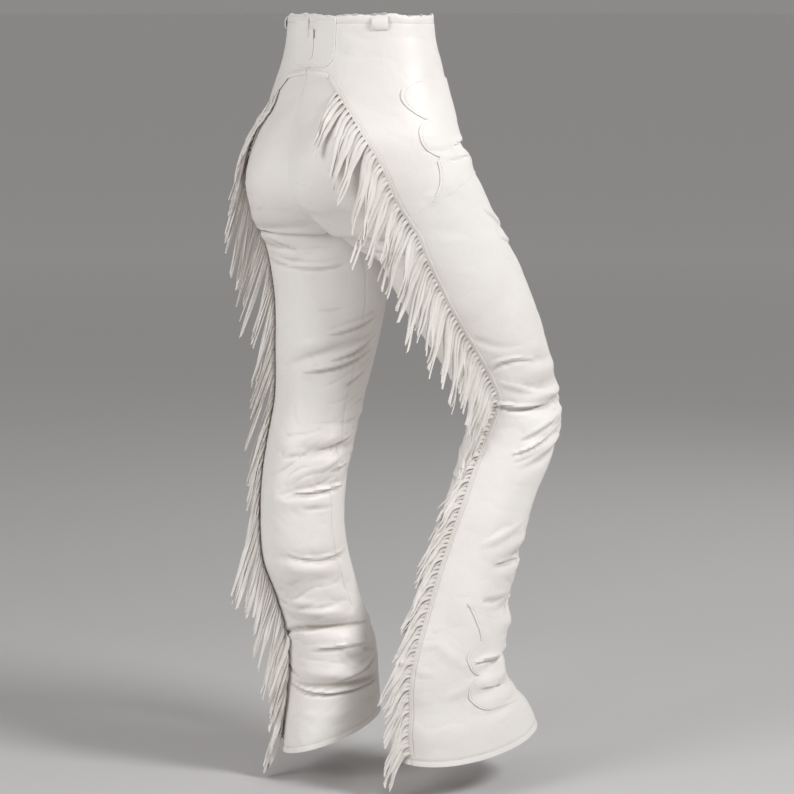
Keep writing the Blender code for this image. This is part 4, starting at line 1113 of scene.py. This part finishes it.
@dataclass
class Overlay:
    """A scalloped overlay sewn on a side panel."""

    surface: Surface
    ornament: Ornament
    name: str
    node: str
    axis_height: float
    facing_angle: float = 120.0

    def ring_places(self, across: np.ndarray, level: np.ndarray) -> tuple[np.ndarray, np.ndarray]:
        """Finds the ring angle and height under each point of the flat outline.

        Args:
            across: Distances to one side of the ornament's middle.
            level: Heights in the world.

        Returns:
            Angles and heights on the surface.
        """
        sign = self.surface.sign
        turn = math.radians(self.facing_angle)
        beside = np.array([-math.cos(turn), sign * math.sin(turn)])
        centre = self.surface.ring(np.array([self.axis_height]))[0][0]
        forward = along(self.surface.pose, np.array([self.axis_height]), 1)[0]
        axis = np.array([sign * centre, -forward])
        low = np.full(len(across), self.facing_angle - 85.0)
        high = np.full(len(across), self.facing_angle + 85.0)
        height = level.copy()
        for _ in range(22):
            middle = (low + high) / 2
            point = self.surface.point(middle, height)
            reach = (point[:, :2] - axis) @ beside * -sign
            low, high = np.where(reach < across, middle, low), np.where(reach < across, high, middle)
            height = np.clip(height + level - point[:, 2], HEM, 0.0)
        return (low + high) / 2, height

    def build(self) -> bpy.types.Object:
        """Builds the overlay."""
        piece = flat_skin(self.name, self.ornament.outline(), 0.0034)
        flat = np.array([v.co[:2] for v in piece.data.vertices])
        angle, height = self.ring_places(flat[:, 0], flat[:, 1])
        points = self.surface.moved_out(angle, height, LIFT)
        full = None
        if self.ornament is HIP:
            edge = max(x for x, y in self.ornament.outline() if y < self.ornament.tip + 1e-4)
            arch = self.ornament.tip + self.ornament.dip * (1 - np.clip(flat[:, 0] / edge, -1, 1) ** 2)
            full = smooth((flat[:, 1] - arch) / 0.020 + 0.02)
        place_skin(piece, points, self.surface.normal(angle, height), OVERLAY, full)
        return dress(piece, IVORY, "overlay_leather", self.node)

    def sewing(self) -> tuple[np.ndarray, np.ndarray]:
        """A row of places just inside the outline, and the way out of the leather there."""
        outline = np.array(self.ornament.outline())
        along_it = np.roll(outline, -1, axis=0) - np.roll(outline, 1, axis=0)
        inward = np.stack([-along_it[:, 1], along_it[:, 0]], axis=-1)
        inward /= np.maximum(np.linalg.norm(inward, axis=-1, keepdims=True), 1e-9)
        middle = outline.mean(axis=0)
        if ((middle - outline) * inward).sum() < 0:
            inward = -inward
        inset = outline + inward * 0.0028
        if self.ornament is HIP:
            inset = inset[(inset[:, 1] > -0.262)]
        angle, height = self.ring_places(inset[:, 0], inset[:, 1])
        normal = self.surface.normal(angle, height)
        return self.surface.point(angle, height) + normal * (LIFT + OVERLAY), normal


def stitch_shape() -> tuple[np.ndarray, list[tuple[int, ...]]]:
    """One stitch: a rounded length of thread along X, modelled once.

    Returns:
        Its points and its faces.
    """
    for other in bpy.context.view_layer.objects:
        other.select_set(False)
    bpy.ops.mesh.primitive_uv_sphere_add(segments=6, ring_count=5, radius=1.0)
    stitch = bpy.context.object
    points = np.array([v.co[:] for v in stitch.data.vertices])[:, [2, 0, 1]] * (0.00165, 0.00048, 0.00042)
    faces = [tuple(f.vertices) for f in stitch.data.polygons]
    bpy.data.objects.remove(stitch)
    return points, faces


@dataclass
class Sewing:
    """All the stitches of one half, in one piece."""

    name: str
    step: float = 0.0043

    def __post_init__(self) -> None:
        self.shape, self.shape_faces = stitch_shape()
        self.points: list[np.ndarray] = []
        self.faces: list[tuple[int, ...]] = []

    def add_row(self, places: np.ndarray, normals: np.ndarray) -> None:
        """Sews along a row of places.

        Args:
            places: Points in order along the leather's outside.
            normals: The way out of the leather at each.
        """
        lengths = np.concatenate([[0], np.cumsum(np.linalg.norm(np.diff(places, axis=0), axis=1))])
        for distance in np.arange(self.step / 2, lengths[-1], self.step):
            spot = np.array([np.interp(distance, lengths, places[:, k]) for k in range(3)])
            ahead = np.array([np.interp(distance + 0.001, lengths, places[:, k]) for k in range(3)])
            back = np.array([np.interp(distance - 0.001, lengths, places[:, k]) for k in range(3)])
            out = np.array([np.interp(distance, lengths, normals[:, k]) for k in range(3)])
            way = (ahead - back) / max(np.linalg.norm(ahead - back), 1e-9)
            side = np.cross(out, way)
            side /= max(np.linalg.norm(side), 1e-9)
            frame_of = np.stack([way, side, np.cross(way, side)])
            base = len(self.points) * len(self.shape)
            self.points.append(self.shape @ frame_of + spot + out * 0.0001)
            self.faces += [tuple(base + i for i in face) for face in self.shape_faces]

    def build(self) -> bpy.types.Object:
        """Joins the stitches into one piece."""
        mesh = bpy.data.meshes.new(self.name)
        mesh.from_pydata(np.concatenate(self.points).tolist(), [], self.faces)
        mesh.shade_smooth()
        piece = bpy.data.objects.new(self.name, mesh)
        bpy.context.scene.collection.objects.link(piece)
        select_only(piece)
        bpy.ops.object.mode_set(mode="EDIT")
        bpy.ops.mesh.select_all(action="SELECT")
        bpy.ops.mesh.normals_make_consistent(inside=False)
        bpy.ops.object.mode_set(mode="OBJECT")
        return dress(piece, THREAD, "leather")


@dataclass
class Fringe:
    """The strip sewn over an outer seam, and the strands cut along its back edge."""

    surface: Surface
    halves: tuple[Surface, Surface]
    strands: int = 158
    strip_width: float = 0.0065
    top: float = -0.105
    bottom: float = -1.078
    width: float = 0.0074
    thick: float = 0.0021
    rings: int = 16
    turn_length: float = 0.022
    drift: tuple[float, float, float] = (0.643, 0.766, 0.0)

    def __post_init__(self) -> None:
        self.levels = np.arange(0.0, HEM - 0.004, -0.004)
        turns = np.arange(-90.0, 270.0, 5.0)
        self.outlines = []
        for half in self.halves:
            angle, height = np.meshgrid(turns, self.levels)
            self.outlines.append(half.point(angle, height)[..., :2])

    def kept_clear(self, place: np.ndarray, gap: float) -> np.ndarray:
        """Moves a place out, level, until it is a gap away from both halves."""
        row = int(np.clip(round(-place[2] / 0.004), 0, len(self.levels) - 1))
        for outlines in self.outlines:
            a = outlines[row]
            b = np.roll(a, -1, axis=0)
            spot = place[:2]
            crosses = (a[:, 1] > spot[1]) != (b[:, 1] > spot[1])
            rise = np.where(np.abs(b[:, 1] - a[:, 1]) < 1e-12, 1e-12, b[:, 1] - a[:, 1])
            inside = (crosses & (spot[0] < a[:, 0] + (spot[1] - a[:, 1]) / rise * (b[:, 0] - a[:, 0]))).sum() % 2 == 1
            edge = b - a
            share = np.clip(((spot - a) * edge).sum(1) / np.maximum((edge**2).sum(1), 1e-12), 0, 1)
            near = a + edge * share[:, None]
            away = spot - near
            distance = np.hypot(away[:, 0], away[:, 1])
            k = int(distance.argmin())
            signed = -distance[k] if inside else distance[k]
            if signed < gap:
                way = (-away[k] if inside else away[k]) / max(distance[k], 1e-9)
                place = np.array([*(near[k] + way * gap), place[2]])
        return place

    def strip_edge(self, height: np.ndarray) -> np.ndarray:
        """The angle of the strip's back edge."""
        seam = self.surface.seam_angle(height)
        return seam + self.surface.degrees_for(SEAM_GAP / 2, seam, height)

    def strip(self) -> bpy.types.Object:
        """Builds the strip, with its edges skived round."""
        surface = self.surface
        height = np.linspace(self.top + 0.020, self.bottom, 420)
        seam = self.strip_edge(height)
        across = np.array([0.0, 0.06, 0.2, 0.5, 0.8, 0.94, 1.0]) * self.strip_width
        angle = seam[:, None] + surface.degrees_for(1.0, seam, height)[:, None] * across[None, :]
        rise = np.array([0.0, 0.00022, 0.00032, 0.00034, 0.00032, 0.00022, 0.0])[None, :]
        level = np.broadcast_to(height[:, None], angle.shape)
        points = surface.moved_out(angle, level, LIFT + rise)
        return leather_sheet(f"fringe_strip_{surface.name}", [points], surface.sign, OVERLAY - 0.0004, None, True)

    def path(
        self, height: float, start: np.ndarray, rng: np.random.Generator, layer: int, lock: tuple[float, float]
    ) -> tuple[np.ndarray, np.ndarray]:
        """Hangs one strand from its root.

        Args:
            height: The root's height on the seam.
            start: The root.
            rng: The source of its unevenness.
            layer: 0 next to the leather, and more further out.
            lock: How long its lock is, and how much it leans.

        Returns:
            The points down its middle, and the leather's outward direction at its root.
        """
        surface = self.surface
        levels = np.array([height, height - 0.004, height + 0.004])
        angles = surface.seam_angle(levels)
        outward = surface.normal(angles[:1], levels[:1])[0]
        spots = surface.point(angles, levels)
        down = spots[1] - spots[2]
        down /= np.linalg.norm(down)
        to_back = np.cross(outward, down) * surface.sign
        length, drift, lift = (float(along(surface.hang, levels[:1], c)[0]) for c in (1, 2, 3))
        length *= lock[0] * rng.uniform(0.92, 1.05)
        drift *= lock[1] * rng.uniform(0.92, 1.08)
        hanging = np.array([0, 0, -1.0]) + np.array(self.drift) * drift + outward * (lift + 0.035 * layer)
        hanging /= np.linalg.norm(hanging)
        rooted = to_back + outward * 0.12 + hanging * 0.5
        rooted /= np.linalg.norm(rooted)
        length = min(length, (start[2] - FLOOR - 0.005) / -hanging[2])
        sway = np.cross(hanging, outward)
        swing, beat, phase = rng.uniform(0.0018, 0.0048), rng.uniform(0.8, 1.9), rng.uniform(0, 6.28)
        points, place, steps = [start], start.copy(), (self.rings - 1) * 2
        for k in range(1, steps + 1):
            share = k / steps
            turn = float(smooth(np.array(length * share / self.turn_length)))
            heading = rooted * (1 - turn) + hanging * turn
            heading /= np.linalg.norm(heading)
            place = place + heading * length / steps
            if k % 2 == 0:
                wave = sway * swing * share * math.sin(beat * 6.28 * share + phase)
                points.append(place + wave)
        return np.array(points), outward

    def build(self) -> tuple[bpy.types.Object, bpy.types.Object]:
        """Builds the strip and the strands.

        Returns:
            The strip and the strands.
        """
        surface = self.surface
        rng = np.random.default_rng(41 if surface.sign > 0 else 17)
        locks, paths, outs = [], [], []
        while sum(size for size, _ in locks) < self.strands:
            locks.append((int(rng.integers(2, 6)), (rng.uniform(0.74, 1.10), rng.uniform(0.50, 1.28))))
        of_strand = [lock for size, lock in locks for _ in range(size)]
        for index in range(self.strands):
            height = self.top + (self.bottom - self.top) * (index + 0.5) / self.strands
            level = np.array([height])
            start = surface.moved_out(self.strip_edge(level), level, LIFT + OVERLAY / 2)[0]
            points, outward = self.path(height, start, rng, index % 3, of_strand[index])
            paths.append(points)
            outs.append(outward)
        line = np.array(paths)
        share = np.linspace(0, 1, self.rings)
        index = 0
        for size, _ in locks:
            bunch = slice(index, min(index + size, self.strands))
            middle = line[bunch].mean(axis=0)
            pull = (rng.uniform(0.55, 0.86) * smooth(np.clip((share - 0.12) / 0.75, 0, 1)))[None, :, None]
            gathered = line[bunch] + (middle[None] - line[bunch]) * pull
            gathered[..., 2] = line[bunch][..., 2]
            line[bunch] = gathered
            index += size
        points, faces, shade = [], [], []
        corners = ((1.0, 0.0), (0.55, 1.0), (-0.55, 1.0), (-1.0, 0.0), (-0.55, -1.0), (0.55, -1.0))
        for number, (path, outward) in enumerate(zip(line, outs)):
            layer = number % 3
            for k in range(1, self.rings):
                gap = 0.0022 + 0.0017 * layer + 0.010 * share[k]
                path[k] = self.kept_clear(path[k], gap)
                path[k][2] = max(path[k][2], FLOOR + 0.0035)
            width = self.width * rng.uniform(0.72, 1.05)
            twist = rng.uniform(-1.3, 1.3) + (1.6 if rng.random() < 0.3 else 0.0)
            tone = rng.uniform(0.0, 0.22)
            cut = rng.uniform(-0.0030, 0.0030)
            start = len(points)
            for k in range(self.rings):
                heading = path[min(k + 1, self.rings - 1)] - path[max(k - 1, 0)]
                heading /= max(np.linalg.norm(heading), 1e-9)
                beside = np.cross(outward, heading) * surface.sign
                beside /= max(np.linalg.norm(beside), 1e-9)
                crest = np.cross(heading, beside) * surface.sign
                turn = twist * float(smooth(np.array(share[k] * 1.1)))
                wide = beside * math.cos(turn) + crest * math.sin(turn)
                deep = crest * math.cos(turn) - beside * math.sin(turn)
                taper = min(1.0, 0.80 + 1.6 * share[k]) * (1 - 0.50 * max(0.0, (share[k] - 0.35) / 0.65) ** 1.3)
                half = width / 2 * taper
                slant = heading * cut * (share[k] > 0.99)
                for a, b in corners:
                    points.append(path[k] + wide * a * half + deep * b * self.thick / 2 * (0.6 + 0.4 * taper) + slant * a)
                    # Painted shade near each strand's root and on the layer next to the leather, plus a random tone per
                    # strand.
                    shade.append(max(0.0, 0.35 - 2.4 * share[k]) + tone + (0.25 if layer == 0 else 0.0))
            for k in range(self.rings - 1):
                for c in range(6):
                    a, b = start + k * 6 + c, start + k * 6 + (c + 1) % 6
                    faces.append((a, b, b + 6, a + 6))
            faces.append(tuple(start + c for c in range(6)))
            faces.append(tuple(start + (self.rings - 1) * 6 + c for c in range(6)))
        mesh = bpy.data.meshes.new(f"fringe_strands_{surface.name}")
        mesh.from_pydata([tuple(p) for p in points], [], faces)
        attribute = mesh.attributes.new("painted_shade_and_tone", "FLOAT", "POINT")
        attribute.data.foreach_set("value", np.array(shade, dtype=np.float32))
        strands = bpy.data.objects.new(mesh.name, mesh)
        bpy.context.scene.collection.objects.link(strands)
        select_only(strands)
        bpy.ops.object.mode_set(mode="EDIT")
        bpy.ops.mesh.select_all(action="SELECT")
        bpy.ops.mesh.normals_make_consistent(inside=False)
        bpy.ops.object.mode_set(mode="OBJECT")
        bpy.ops.object.shade_smooth_by_angle(angle=math.radians(50))
        strip = self.strip()
        node = f"fringe_{surface.name}"
        return dress(strip, THONG, "fringe_suede", node), dress(strands, THONG, "fringe_suede", node)

    def sewing(self) -> list[tuple[np.ndarray, np.ndarray]]:
        """The row of sewing down the strip."""
        height = np.linspace(self.top - 0.004, self.bottom + 0.003, 420)
        seam = self.strip_edge(height)
        rows = []
        for across in (0.0048,):
            angle = seam + self.surface.degrees_for(1.0, seam, height) * across
            normal = self.surface.normal(angle, height)
            rows.append((self.surface.point(angle, height) + normal * (LIFT + OVERLAY + 0.0001), normal))
        return rows


@dataclass
class Waist:
    """The small pieces round the waist: back plate and tongue, yoke welts, loops, fly and snap."""

    left: Surface
    right: Surface
    plate_half: float = 0.045
    plate_top: float = -0.004
    plate_bottom: float = -0.074
    plate_corner: float = 0.017
    slot_half: float = 0.0085
    slot_bottom: float = -0.034
    fly_width: float = 0.036
    fly_top: float = -0.012
    fly_bottom: float = -0.165
    loop_angle: float = 55.0
    loop_width: float = 0.022
    snap_radius: float = 0.0075
    snap_height: float = 0.0030

    def middle_places(
        self, across: np.ndarray, level: np.ndarray, front: bool
    ) -> tuple[np.ndarray, np.ndarray, np.ndarray, np.ndarray]:
        """Finds the places on the two halves under points beside the middle plane.

        Args:
            across: Distances to the wearer's left.
            level: Heights.
            front: Whether the points are on the front.

        Returns:
            Points of the surface, the way out there, ring angles and ring heights.
        """
        points, outward = np.zeros((len(across), 3)), np.zeros((len(across), 3))
        angles, heights = np.zeros(len(across)), np.zeros(len(across))
        for half in (self.left, self.right):
            mine = across >= 0 if half.sign > 0 else across < 0
            if not mine.any():
                continue
            reach, height = np.abs(across[mine]), level[mine].copy()
            low, high = np.full(mine.sum(), -10.0), np.full(mine.sum(), 70.0)
            for _ in range(20):
                middle = (low + high) / 2
                point = half.point(180 - middle if front else middle, height)
                short = np.abs(point[:, 0]) * np.sign(point[:, 0] * half.sign + 1e-12) < reach
                low, high = np.where(short, middle, low), np.where(short, high, middle)
                height = np.clip(height + level[mine] - point[:, 2], -0.3, 0.0)
            turn = 180 - (low + high) / 2 if front else (low + high) / 2
            points[mine], outward[mine] = half.point(turn, height), half.normal(turn, height)
            angles[mine], heights[mine] = turn, height
        return points, outward, angles, heights

    def sewn_skin(
        self, name: str, outline: list[tuple[float, float]], front: bool, rise: float, wall: float
    ) -> tuple[bpy.types.Object, tuple[np.ndarray, np.ndarray]]:
        """A flat shape laid on the leather beside the middle, and its row of sewing."""
        piece = flat_skin(name, outline, 0.0034)
        flat = np.array([v.co[:2] for v in piece.data.vertices])
        points, outward, _, _ = self.middle_places(flat[:, 0], flat[:, 1], front)
        place_skin(piece, points + outward * rise, outward, wall)
        line = np.array(outline + outline[:1])
        lengths = np.concatenate([[0], np.cumsum(np.linalg.norm(np.diff(line, axis=0), axis=1))])
        steps = np.arange(0, lengths[-1], 0.002)
        line = np.stack([np.interp(steps, lengths, line[:, k]) for k in (0, 1)], axis=-1)
        ahead = np.roll(line, -3, axis=0) - np.roll(line, 3, axis=0)
        inward = np.stack([-ahead[:, 1], ahead[:, 0]], axis=-1)
        inward /= np.maximum(np.linalg.norm(inward, axis=-1, keepdims=True), 1e-9)
        if ((line.mean(axis=0) - line) * inward).sum() < 0:
            inward = -inward
        row = line + inward * 0.0026
        places, out, _, _ = self.middle_places(row[:, 0], row[:, 1], front)
        return piece, (places + out * (rise + wall), out)

    def back_plate(self) -> tuple[bpy.types.Object, list[tuple[np.ndarray, np.ndarray]]]:
        """The plate at the centre back, open at its middle over a slot, with a tongue."""
        r, half, slot = self.plate_corner, self.plate_half, self.slot_half
        outline = [(slot, self.plate_top), (slot * 0.94, self.slot_bottom + 0.003), (slot * 0.6, self.slot_bottom)]
        outline += [(-slot * 0.6, self.slot_bottom), (-slot * 0.94, self.slot_bottom + 0.003), (-slot, self.plate_top)]
        outline += [(-half, self.plate_top)]
        outline += outline_arc(-half + r, self.plate_bottom + r, r, 180, 270)
        outline += outline_arc(half - r, self.plate_bottom + r, r, -90, 0)
        outline += [(half, self.plate_top)]
        piece, row = self.sewn_skin("back_plate", outline, False, LIFT, OVERLAY)
        dress(piece, IVORY, "overlay_leather", "back_yoke")
        tongue = [(0.0045, -0.020), (0.0050, -0.034), (0.0062, -0.050), (0.0046, -0.060), (0.0, -0.0655)]
        tongue += [(-x, y) for x, y in reversed(tongue[:-1])]
        strap, _ = self.sewn_skin("back_tongue", tongue, False, LIFT + OVERLAY + 0.0002, 0.0013)
        dress(strap, IVORY, "overlay_leather")
        return piece, [row]

    def fly(self) -> tuple[bpy.types.Object, tuple[np.ndarray, np.ndarray]]:
        """The fly's flap on the left front."""
        r = self.fly_width
        outline = [(0.0006, self.fly_top), (0.0006, self.fly_bottom)]
        outline += outline_arc(0.0, self.fly_bottom + r, r, -86, 0) + [(r, self.fly_top)]
        piece, row = self.sewn_skin("fly_flap", outline, True, LIFT, OVERLAY)
        return dress(piece, IVORY, "overlay_leather", "fly"), row

    def loop(self, half: Surface) -> bpy.types.Object:
        """A short folded strap that stands off the waist."""
        span = half.degrees_for(self.loop_width / 2, self.loop_angle, np.array(-0.003))
        angle = self.loop_angle + span * np.linspace(-1, 1, 13)
        height = np.linspace(-0.003, -0.020, 26)
        rise = LIFT + 0.0029 * np.sin(np.pi * np.linspace(0, 1, 26)) ** 0.6
        turn, level = np.meshgrid(angle, height)
        crown = rise[:, None] - 0.0006 * np.linspace(-1, 1, 13)[None, :] ** 4
        crown = np.maximum(crown, LIFT)
        points = half.moved_out(turn, level, crown)
        piece = leather_sheet(f"belt_tab_{half.name}", [points], half.sign, OVERLAY, None, True)
        return dress(piece, IVORY, "overlay_leather", f"belt_loop_{half.name}")

    def welt(self, half: Surface) -> tuple[bpy.types.Object, tuple[np.ndarray, np.ndarray]]:
        """The narrow welt over the yoke's seam."""
        share = np.linspace(0, 1, 90)
        seam = half.seam_angle(np.array([YOKE_BOTTOM]))[0]
        inner = half.inner_angle(np.array([YOKE_BOTTOM]))[0]
        angle = -inner + 0.2 + (seam + inner - 0.4) * share
        across = np.array([0.0, 0.1, 0.3, 0.5, 0.7, 0.9, 1.0])
        turn, part = np.meshgrid(angle, across)
        edge = YOKE_BOTTOM + (YOKE_CORNER - YOKE_BOTTOM) * share
        level = edge[None, :] + 0.0052 - 0.0056 * part
        crown = LIFT + 0.0008 * np.sin(np.pi * part) ** 0.5
        points = half.moved_out(turn, level, crown)
        piece = leather_sheet(f"yoke_welt_{half.name}", [points], half.sign, 0.0013, None, True)
        line = edge + 0.0085
        normal = half.normal(angle, line)
        return dress(piece, CREAM, "leather"), (half.point(angle, line) + normal * 0.0001, normal)

    def snap(self) -> bpy.types.Object:
        """The round snap that closes the waist over the fly."""
        angle, height = np.array([174.0]), np.array([self.fly_top - 0.014])
        place = self.left.moved_out(angle, height, LIFT * 3 + OVERLAY + self.snap_height / 2)[0]
        normal = Vector(self.left.normal(angle, height)[0])
        for other in bpy.context.view_layer.objects:
            other.select_set(False)
        bpy.ops.mesh.primitive_cylinder_add(vertices=48, radius=self.snap_radius, depth=self.snap_height)
        cap = bpy.context.object
        cap.name = cap.data.name = "snap_cap"
        bpy.ops.object.mode_set(mode="EDIT")
        bpy.ops.mesh.select_all(action="DESELECT")
        shape = bmesh.from_edit_mesh(cap.data)
        for face in shape.faces:
            face.select_set(face.normal.z > 0.9)
        bmesh.update_edit_mesh(cap.data)
        bpy.ops.mesh.inset(thickness=0.0014, depth=-0.0002)
        bpy.ops.mesh.inset(thickness=0.0005, depth=-0.0006)
        bpy.ops.mesh.inset(thickness=0.0018, depth=0.0005)
        bpy.ops.object.mode_set(mode="OBJECT")
        bevel = cap.modifiers.new("rolled_rim", "BEVEL")
        bevel.width = 0.0004
        bevel.segments = 3
        bevel.limit_method = "ANGLE"
        bpy.ops.object.modifier_apply(modifier=bevel.name)
        bpy.ops.object.shade_smooth_by_angle(angle=math.radians(40))
        turned = Vector((0, 0, 1)).rotation_difference(normal).to_matrix().to_4x4()
        cap.data.transform(Matrix.Translation(place) @ turned)
        return dress(cap, NICKEL, "snap_metal", "waist_snap")

    def build(self) -> list[tuple[np.ndarray, np.ndarray]]:
        """Builds all the pieces.

        Returns:
            The rows to sew.
        """
        _, rows = self.back_plate()
        _, row = self.fly()
        rows.append(row)
        for half in (self.left, self.right):
            self.loop(half)
            _, row = self.welt(half)
            rows.append(row)
        self.snap()
        return rows


@dataclass
class Leg:
    """One half of the garment: three panels, fringe, overlays and the sewing of its edges."""

    surface: Surface
    halves: tuple[Surface, Surface]
    side_flat: tuple[float, float]
    side_area: float
    seat_flat: tuple[float, float]
    seat_area: float
    rear_flat: tuple[float, float]
    rear_area: float

    def edge_rows(self) -> list[tuple[np.ndarray, np.ndarray]]:
        """Rows of sewing round the waist and the hem."""
        rows = []
        surface = self.surface
        for height, first, last in ((-0.0112, -1.0, 181.0), (HEM + 0.0088, -88.0, 268.0)):
            angle = np.linspace(first, last, 240)
            if height > -0.5:
                inner = surface.inner_angle(np.array([height]))[0]
                angle = np.linspace(-inner + 1, 180 + inner - 1, 240)
            level = np.full(len(angle), height)
            normal = surface.normal(angle, level)
            rows.append((surface.point(angle, level) - normal * 0.0006, normal))
        return rows

    def build(self) -> None:
        """Builds everything of this half."""
        name = self.surface.name
        fringe = Fringe(self.surface, self.halves)
        strip, strands = fringe.build()
        sewing = Sewing(f"stitches_{name}")
        for row in fringe.sewing() + self.edge_rows():
            sewing.add_row(*row)
        for ornament, part, node in ((HIP, "hip", -0.1845), (ANKLE, "ankle", -0.927)):
            overlay = Overlay(self.surface, ornament, f"{part}_ornament_{name}", f"{part}_overlay_{name}", node)
            overlay.build()
            sewing.add_row(*overlay.sewing())
        stitches = sewing.build()
        side = Panel(self.surface, f"outer_leg_{name}", f"side_panel_{name}", self.side_flat, self.side_area)
        side.build([strip, strands, stitches])
        RearPanel(
            self.surface, f"seat_half_{name}", f"seat_{name}", self.seat_flat, self.seat_area,
            columns=44, rows=56, top=YOKE_BOTTOM, bottom=SEAT_BOTTOM, is_seat=True,
        ).build()
        RearPanel(
            self.surface, f"rear_leg_{name}", f"back_leg_{name}", self.rear_flat, self.rear_area,
            columns=48, rows=240, top=SEAT_BOTTOM - SEAM_GAP, bottom=HEM,
        ).build()


@dataclass(frozen=True)
class Studio:
    """The pale floor, the soft lights, and the camera at the photograph's angle."""

    distance: float = 4.2
    height: float = 0.02
    tilt: float = 7.8
    aside: float = 0.733
    lens: float = 131.2
    toward: tuple[float, float] = (0.766, -0.643)

    def axes(self) -> tuple[Vector, Vector, Vector]:
        """The camera's right, up and forward directions, before it is turned aside."""
        tilt = math.radians(self.tilt)
        ahead = Vector((self.toward[0] * math.cos(tilt), self.toward[1] * math.cos(tilt), -math.sin(tilt))).normalized()
        right = Vector((self.toward[1], -self.toward[0], 0.0)).normalized()
        return right, right.cross(ahead), ahead

    def camera(self) -> None:
        """Makes the camera."""
        right, up, ahead = self.axes()
        aside = math.radians(self.aside)
        facing = ahead * math.cos(aside) + right * math.sin(aside)
        beside = right * math.cos(aside) - ahead * math.sin(aside)
        data = bpy.data.cameras.new("camera")
        data.lens = self.lens
        data.sensor_width = 36.0
        camera = bpy.data.objects.new("camera", data)
        camera.matrix_world = Matrix.Translation(
            (-self.toward[0] * self.distance, -self.toward[1] * self.distance, self.height)
        ) @ Matrix((beside, up, -facing)).transposed().to_4x4()
        bpy.context.scene.collection.objects.link(camera)
        bpy.context.scene.camera = camera

    def light(self, name: str, place: Vector, aim: Vector, size: float, power: float) -> None:
        """Makes a large soft light that faces a point."""
        data = bpy.data.lights.new(name, "AREA")
        data.shape = "DISK"
        data.size = size
        data.energy = power
        lamp = bpy.data.objects.new(name, data)
        lamp.matrix_world = Matrix.Translation(place) @ (aim - place).to_track_quat("-Z", "Y").to_matrix().to_4x4()
        bpy.context.scene.collection.objects.link(lamp)

    def floor(self) -> None:
        """Lays the pale floor, darker near the middle as painted shade against the lamps' light there."""
        bpy.ops.mesh.primitive_plane_add(size=400.0, location=(0.0, 0.0, FLOOR))
        floor = bpy.context.object
        floor.name = "studio_floor"
        material = bpy.data.materials.new("pale_floor")
        material.use_nodes = True
        tree = material.node_tree
        shader = tree.nodes["Principled BSDF"]
        shader.inputs["Roughness"].default_value = 0.7
        place = tree.nodes.new("ShaderNodeTexCoord").outputs["Object"]
        away = tree.nodes.new("ShaderNodeVectorMath")
        away.operation = "LENGTH"
        tree.links.new(place, away.inputs[0])
        spread = tree.nodes.new("ShaderNodeMapRange")
        spread.inputs["From Min"].default_value = 1.2
        spread.inputs["From Max"].default_value = 9.0
        tree.links.new(away.outputs["Value"], spread.inputs["Value"])
        # Painted shade: the floor's colour is darker near the middle, where the lamps light it most, and pale further
        # off.
        ramp = tree.nodes.new("ShaderNodeValToRGB")
        ramp.color_ramp.elements[0].color = (0.60, 0.59, 0.585, 1.0)
        ramp.color_ramp.elements[1].color = (0.94, 0.935, 0.93, 1.0)
        tree.links.new(spread.outputs["Result"], ramp.inputs["Fac"])
        tree.links.new(ramp.outputs["Color"], shader.inputs["Base Color"])
        floor.data.materials.append(material)

    def build(self) -> None:
        """Sets the whole studio up."""
        self.camera()
        self.floor()
        right, up, ahead = self.axes()
        aim = Vector((-0.02, -0.03, -0.52))
        self.light("key", aim + right * 2.3 - ahead * 1.9 + up * 1.9, aim, 1.1, 88.0)
        self.light("fill", aim - right * 2.4 - ahead * 2.2 + up * 0.9, aim, 1.8, 50.0)
        self.light("rim", aim + right * 1.2 + ahead * 2.2 + up * 2.0, aim, 1.6, 10.0)
        world = bpy.data.worlds.new("studio_air")
        world.use_nodes = True
        back = world.node_tree.nodes["Background"]
        back.inputs["Color"].default_value = (0.262, 0.254, 0.249, 1.0)
        back.inputs["Strength"].default_value = 1.0
        bpy.context.scene.world = world
        bpy.context.scene.view_settings.view_transform = "Standard"


def main() -> None:
    """Dresses the frame."""
    logging.basicConfig(level=logging.INFO, format="%(message)s")
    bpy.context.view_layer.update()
    Studio().build()
    left = Surface(
        "left", 1, LEFT_LEG, LEFT_POSE, LEFT_SEAM, LEFT_FOLDS, LEFT_HANG, (60, 0.0, 0.045), LEFT_CREASES, LEFT_RUMPLES
    )
    right = Surface(
        "right", -1, RIGHT_LEG, RIGHT_POSE, RIGHT_SEAM, RIGHT_FOLDS, RIGHT_HANG, (25, 0.011, 0.036), RIGHT_CREASES, RIGHT_RUMPLES
    )
    halves = (left, right)
    Leg(left, halves, (0.42, 1.16), 0.345, (0.235, 0.235), 0.0335, (0.235, 0.80), 0.129).build()
    Leg(right, halves, (0.50, 1.24), 0.391, (0.235, 0.235), 0.0352, (0.235, 0.80), 0.127).build()
    trim = Sewing("stitches_waist")
    for row in Waist(left, right).build():
        trim.add_row(*row)
    trim.build()


if __name__ == "__main__":
    main()
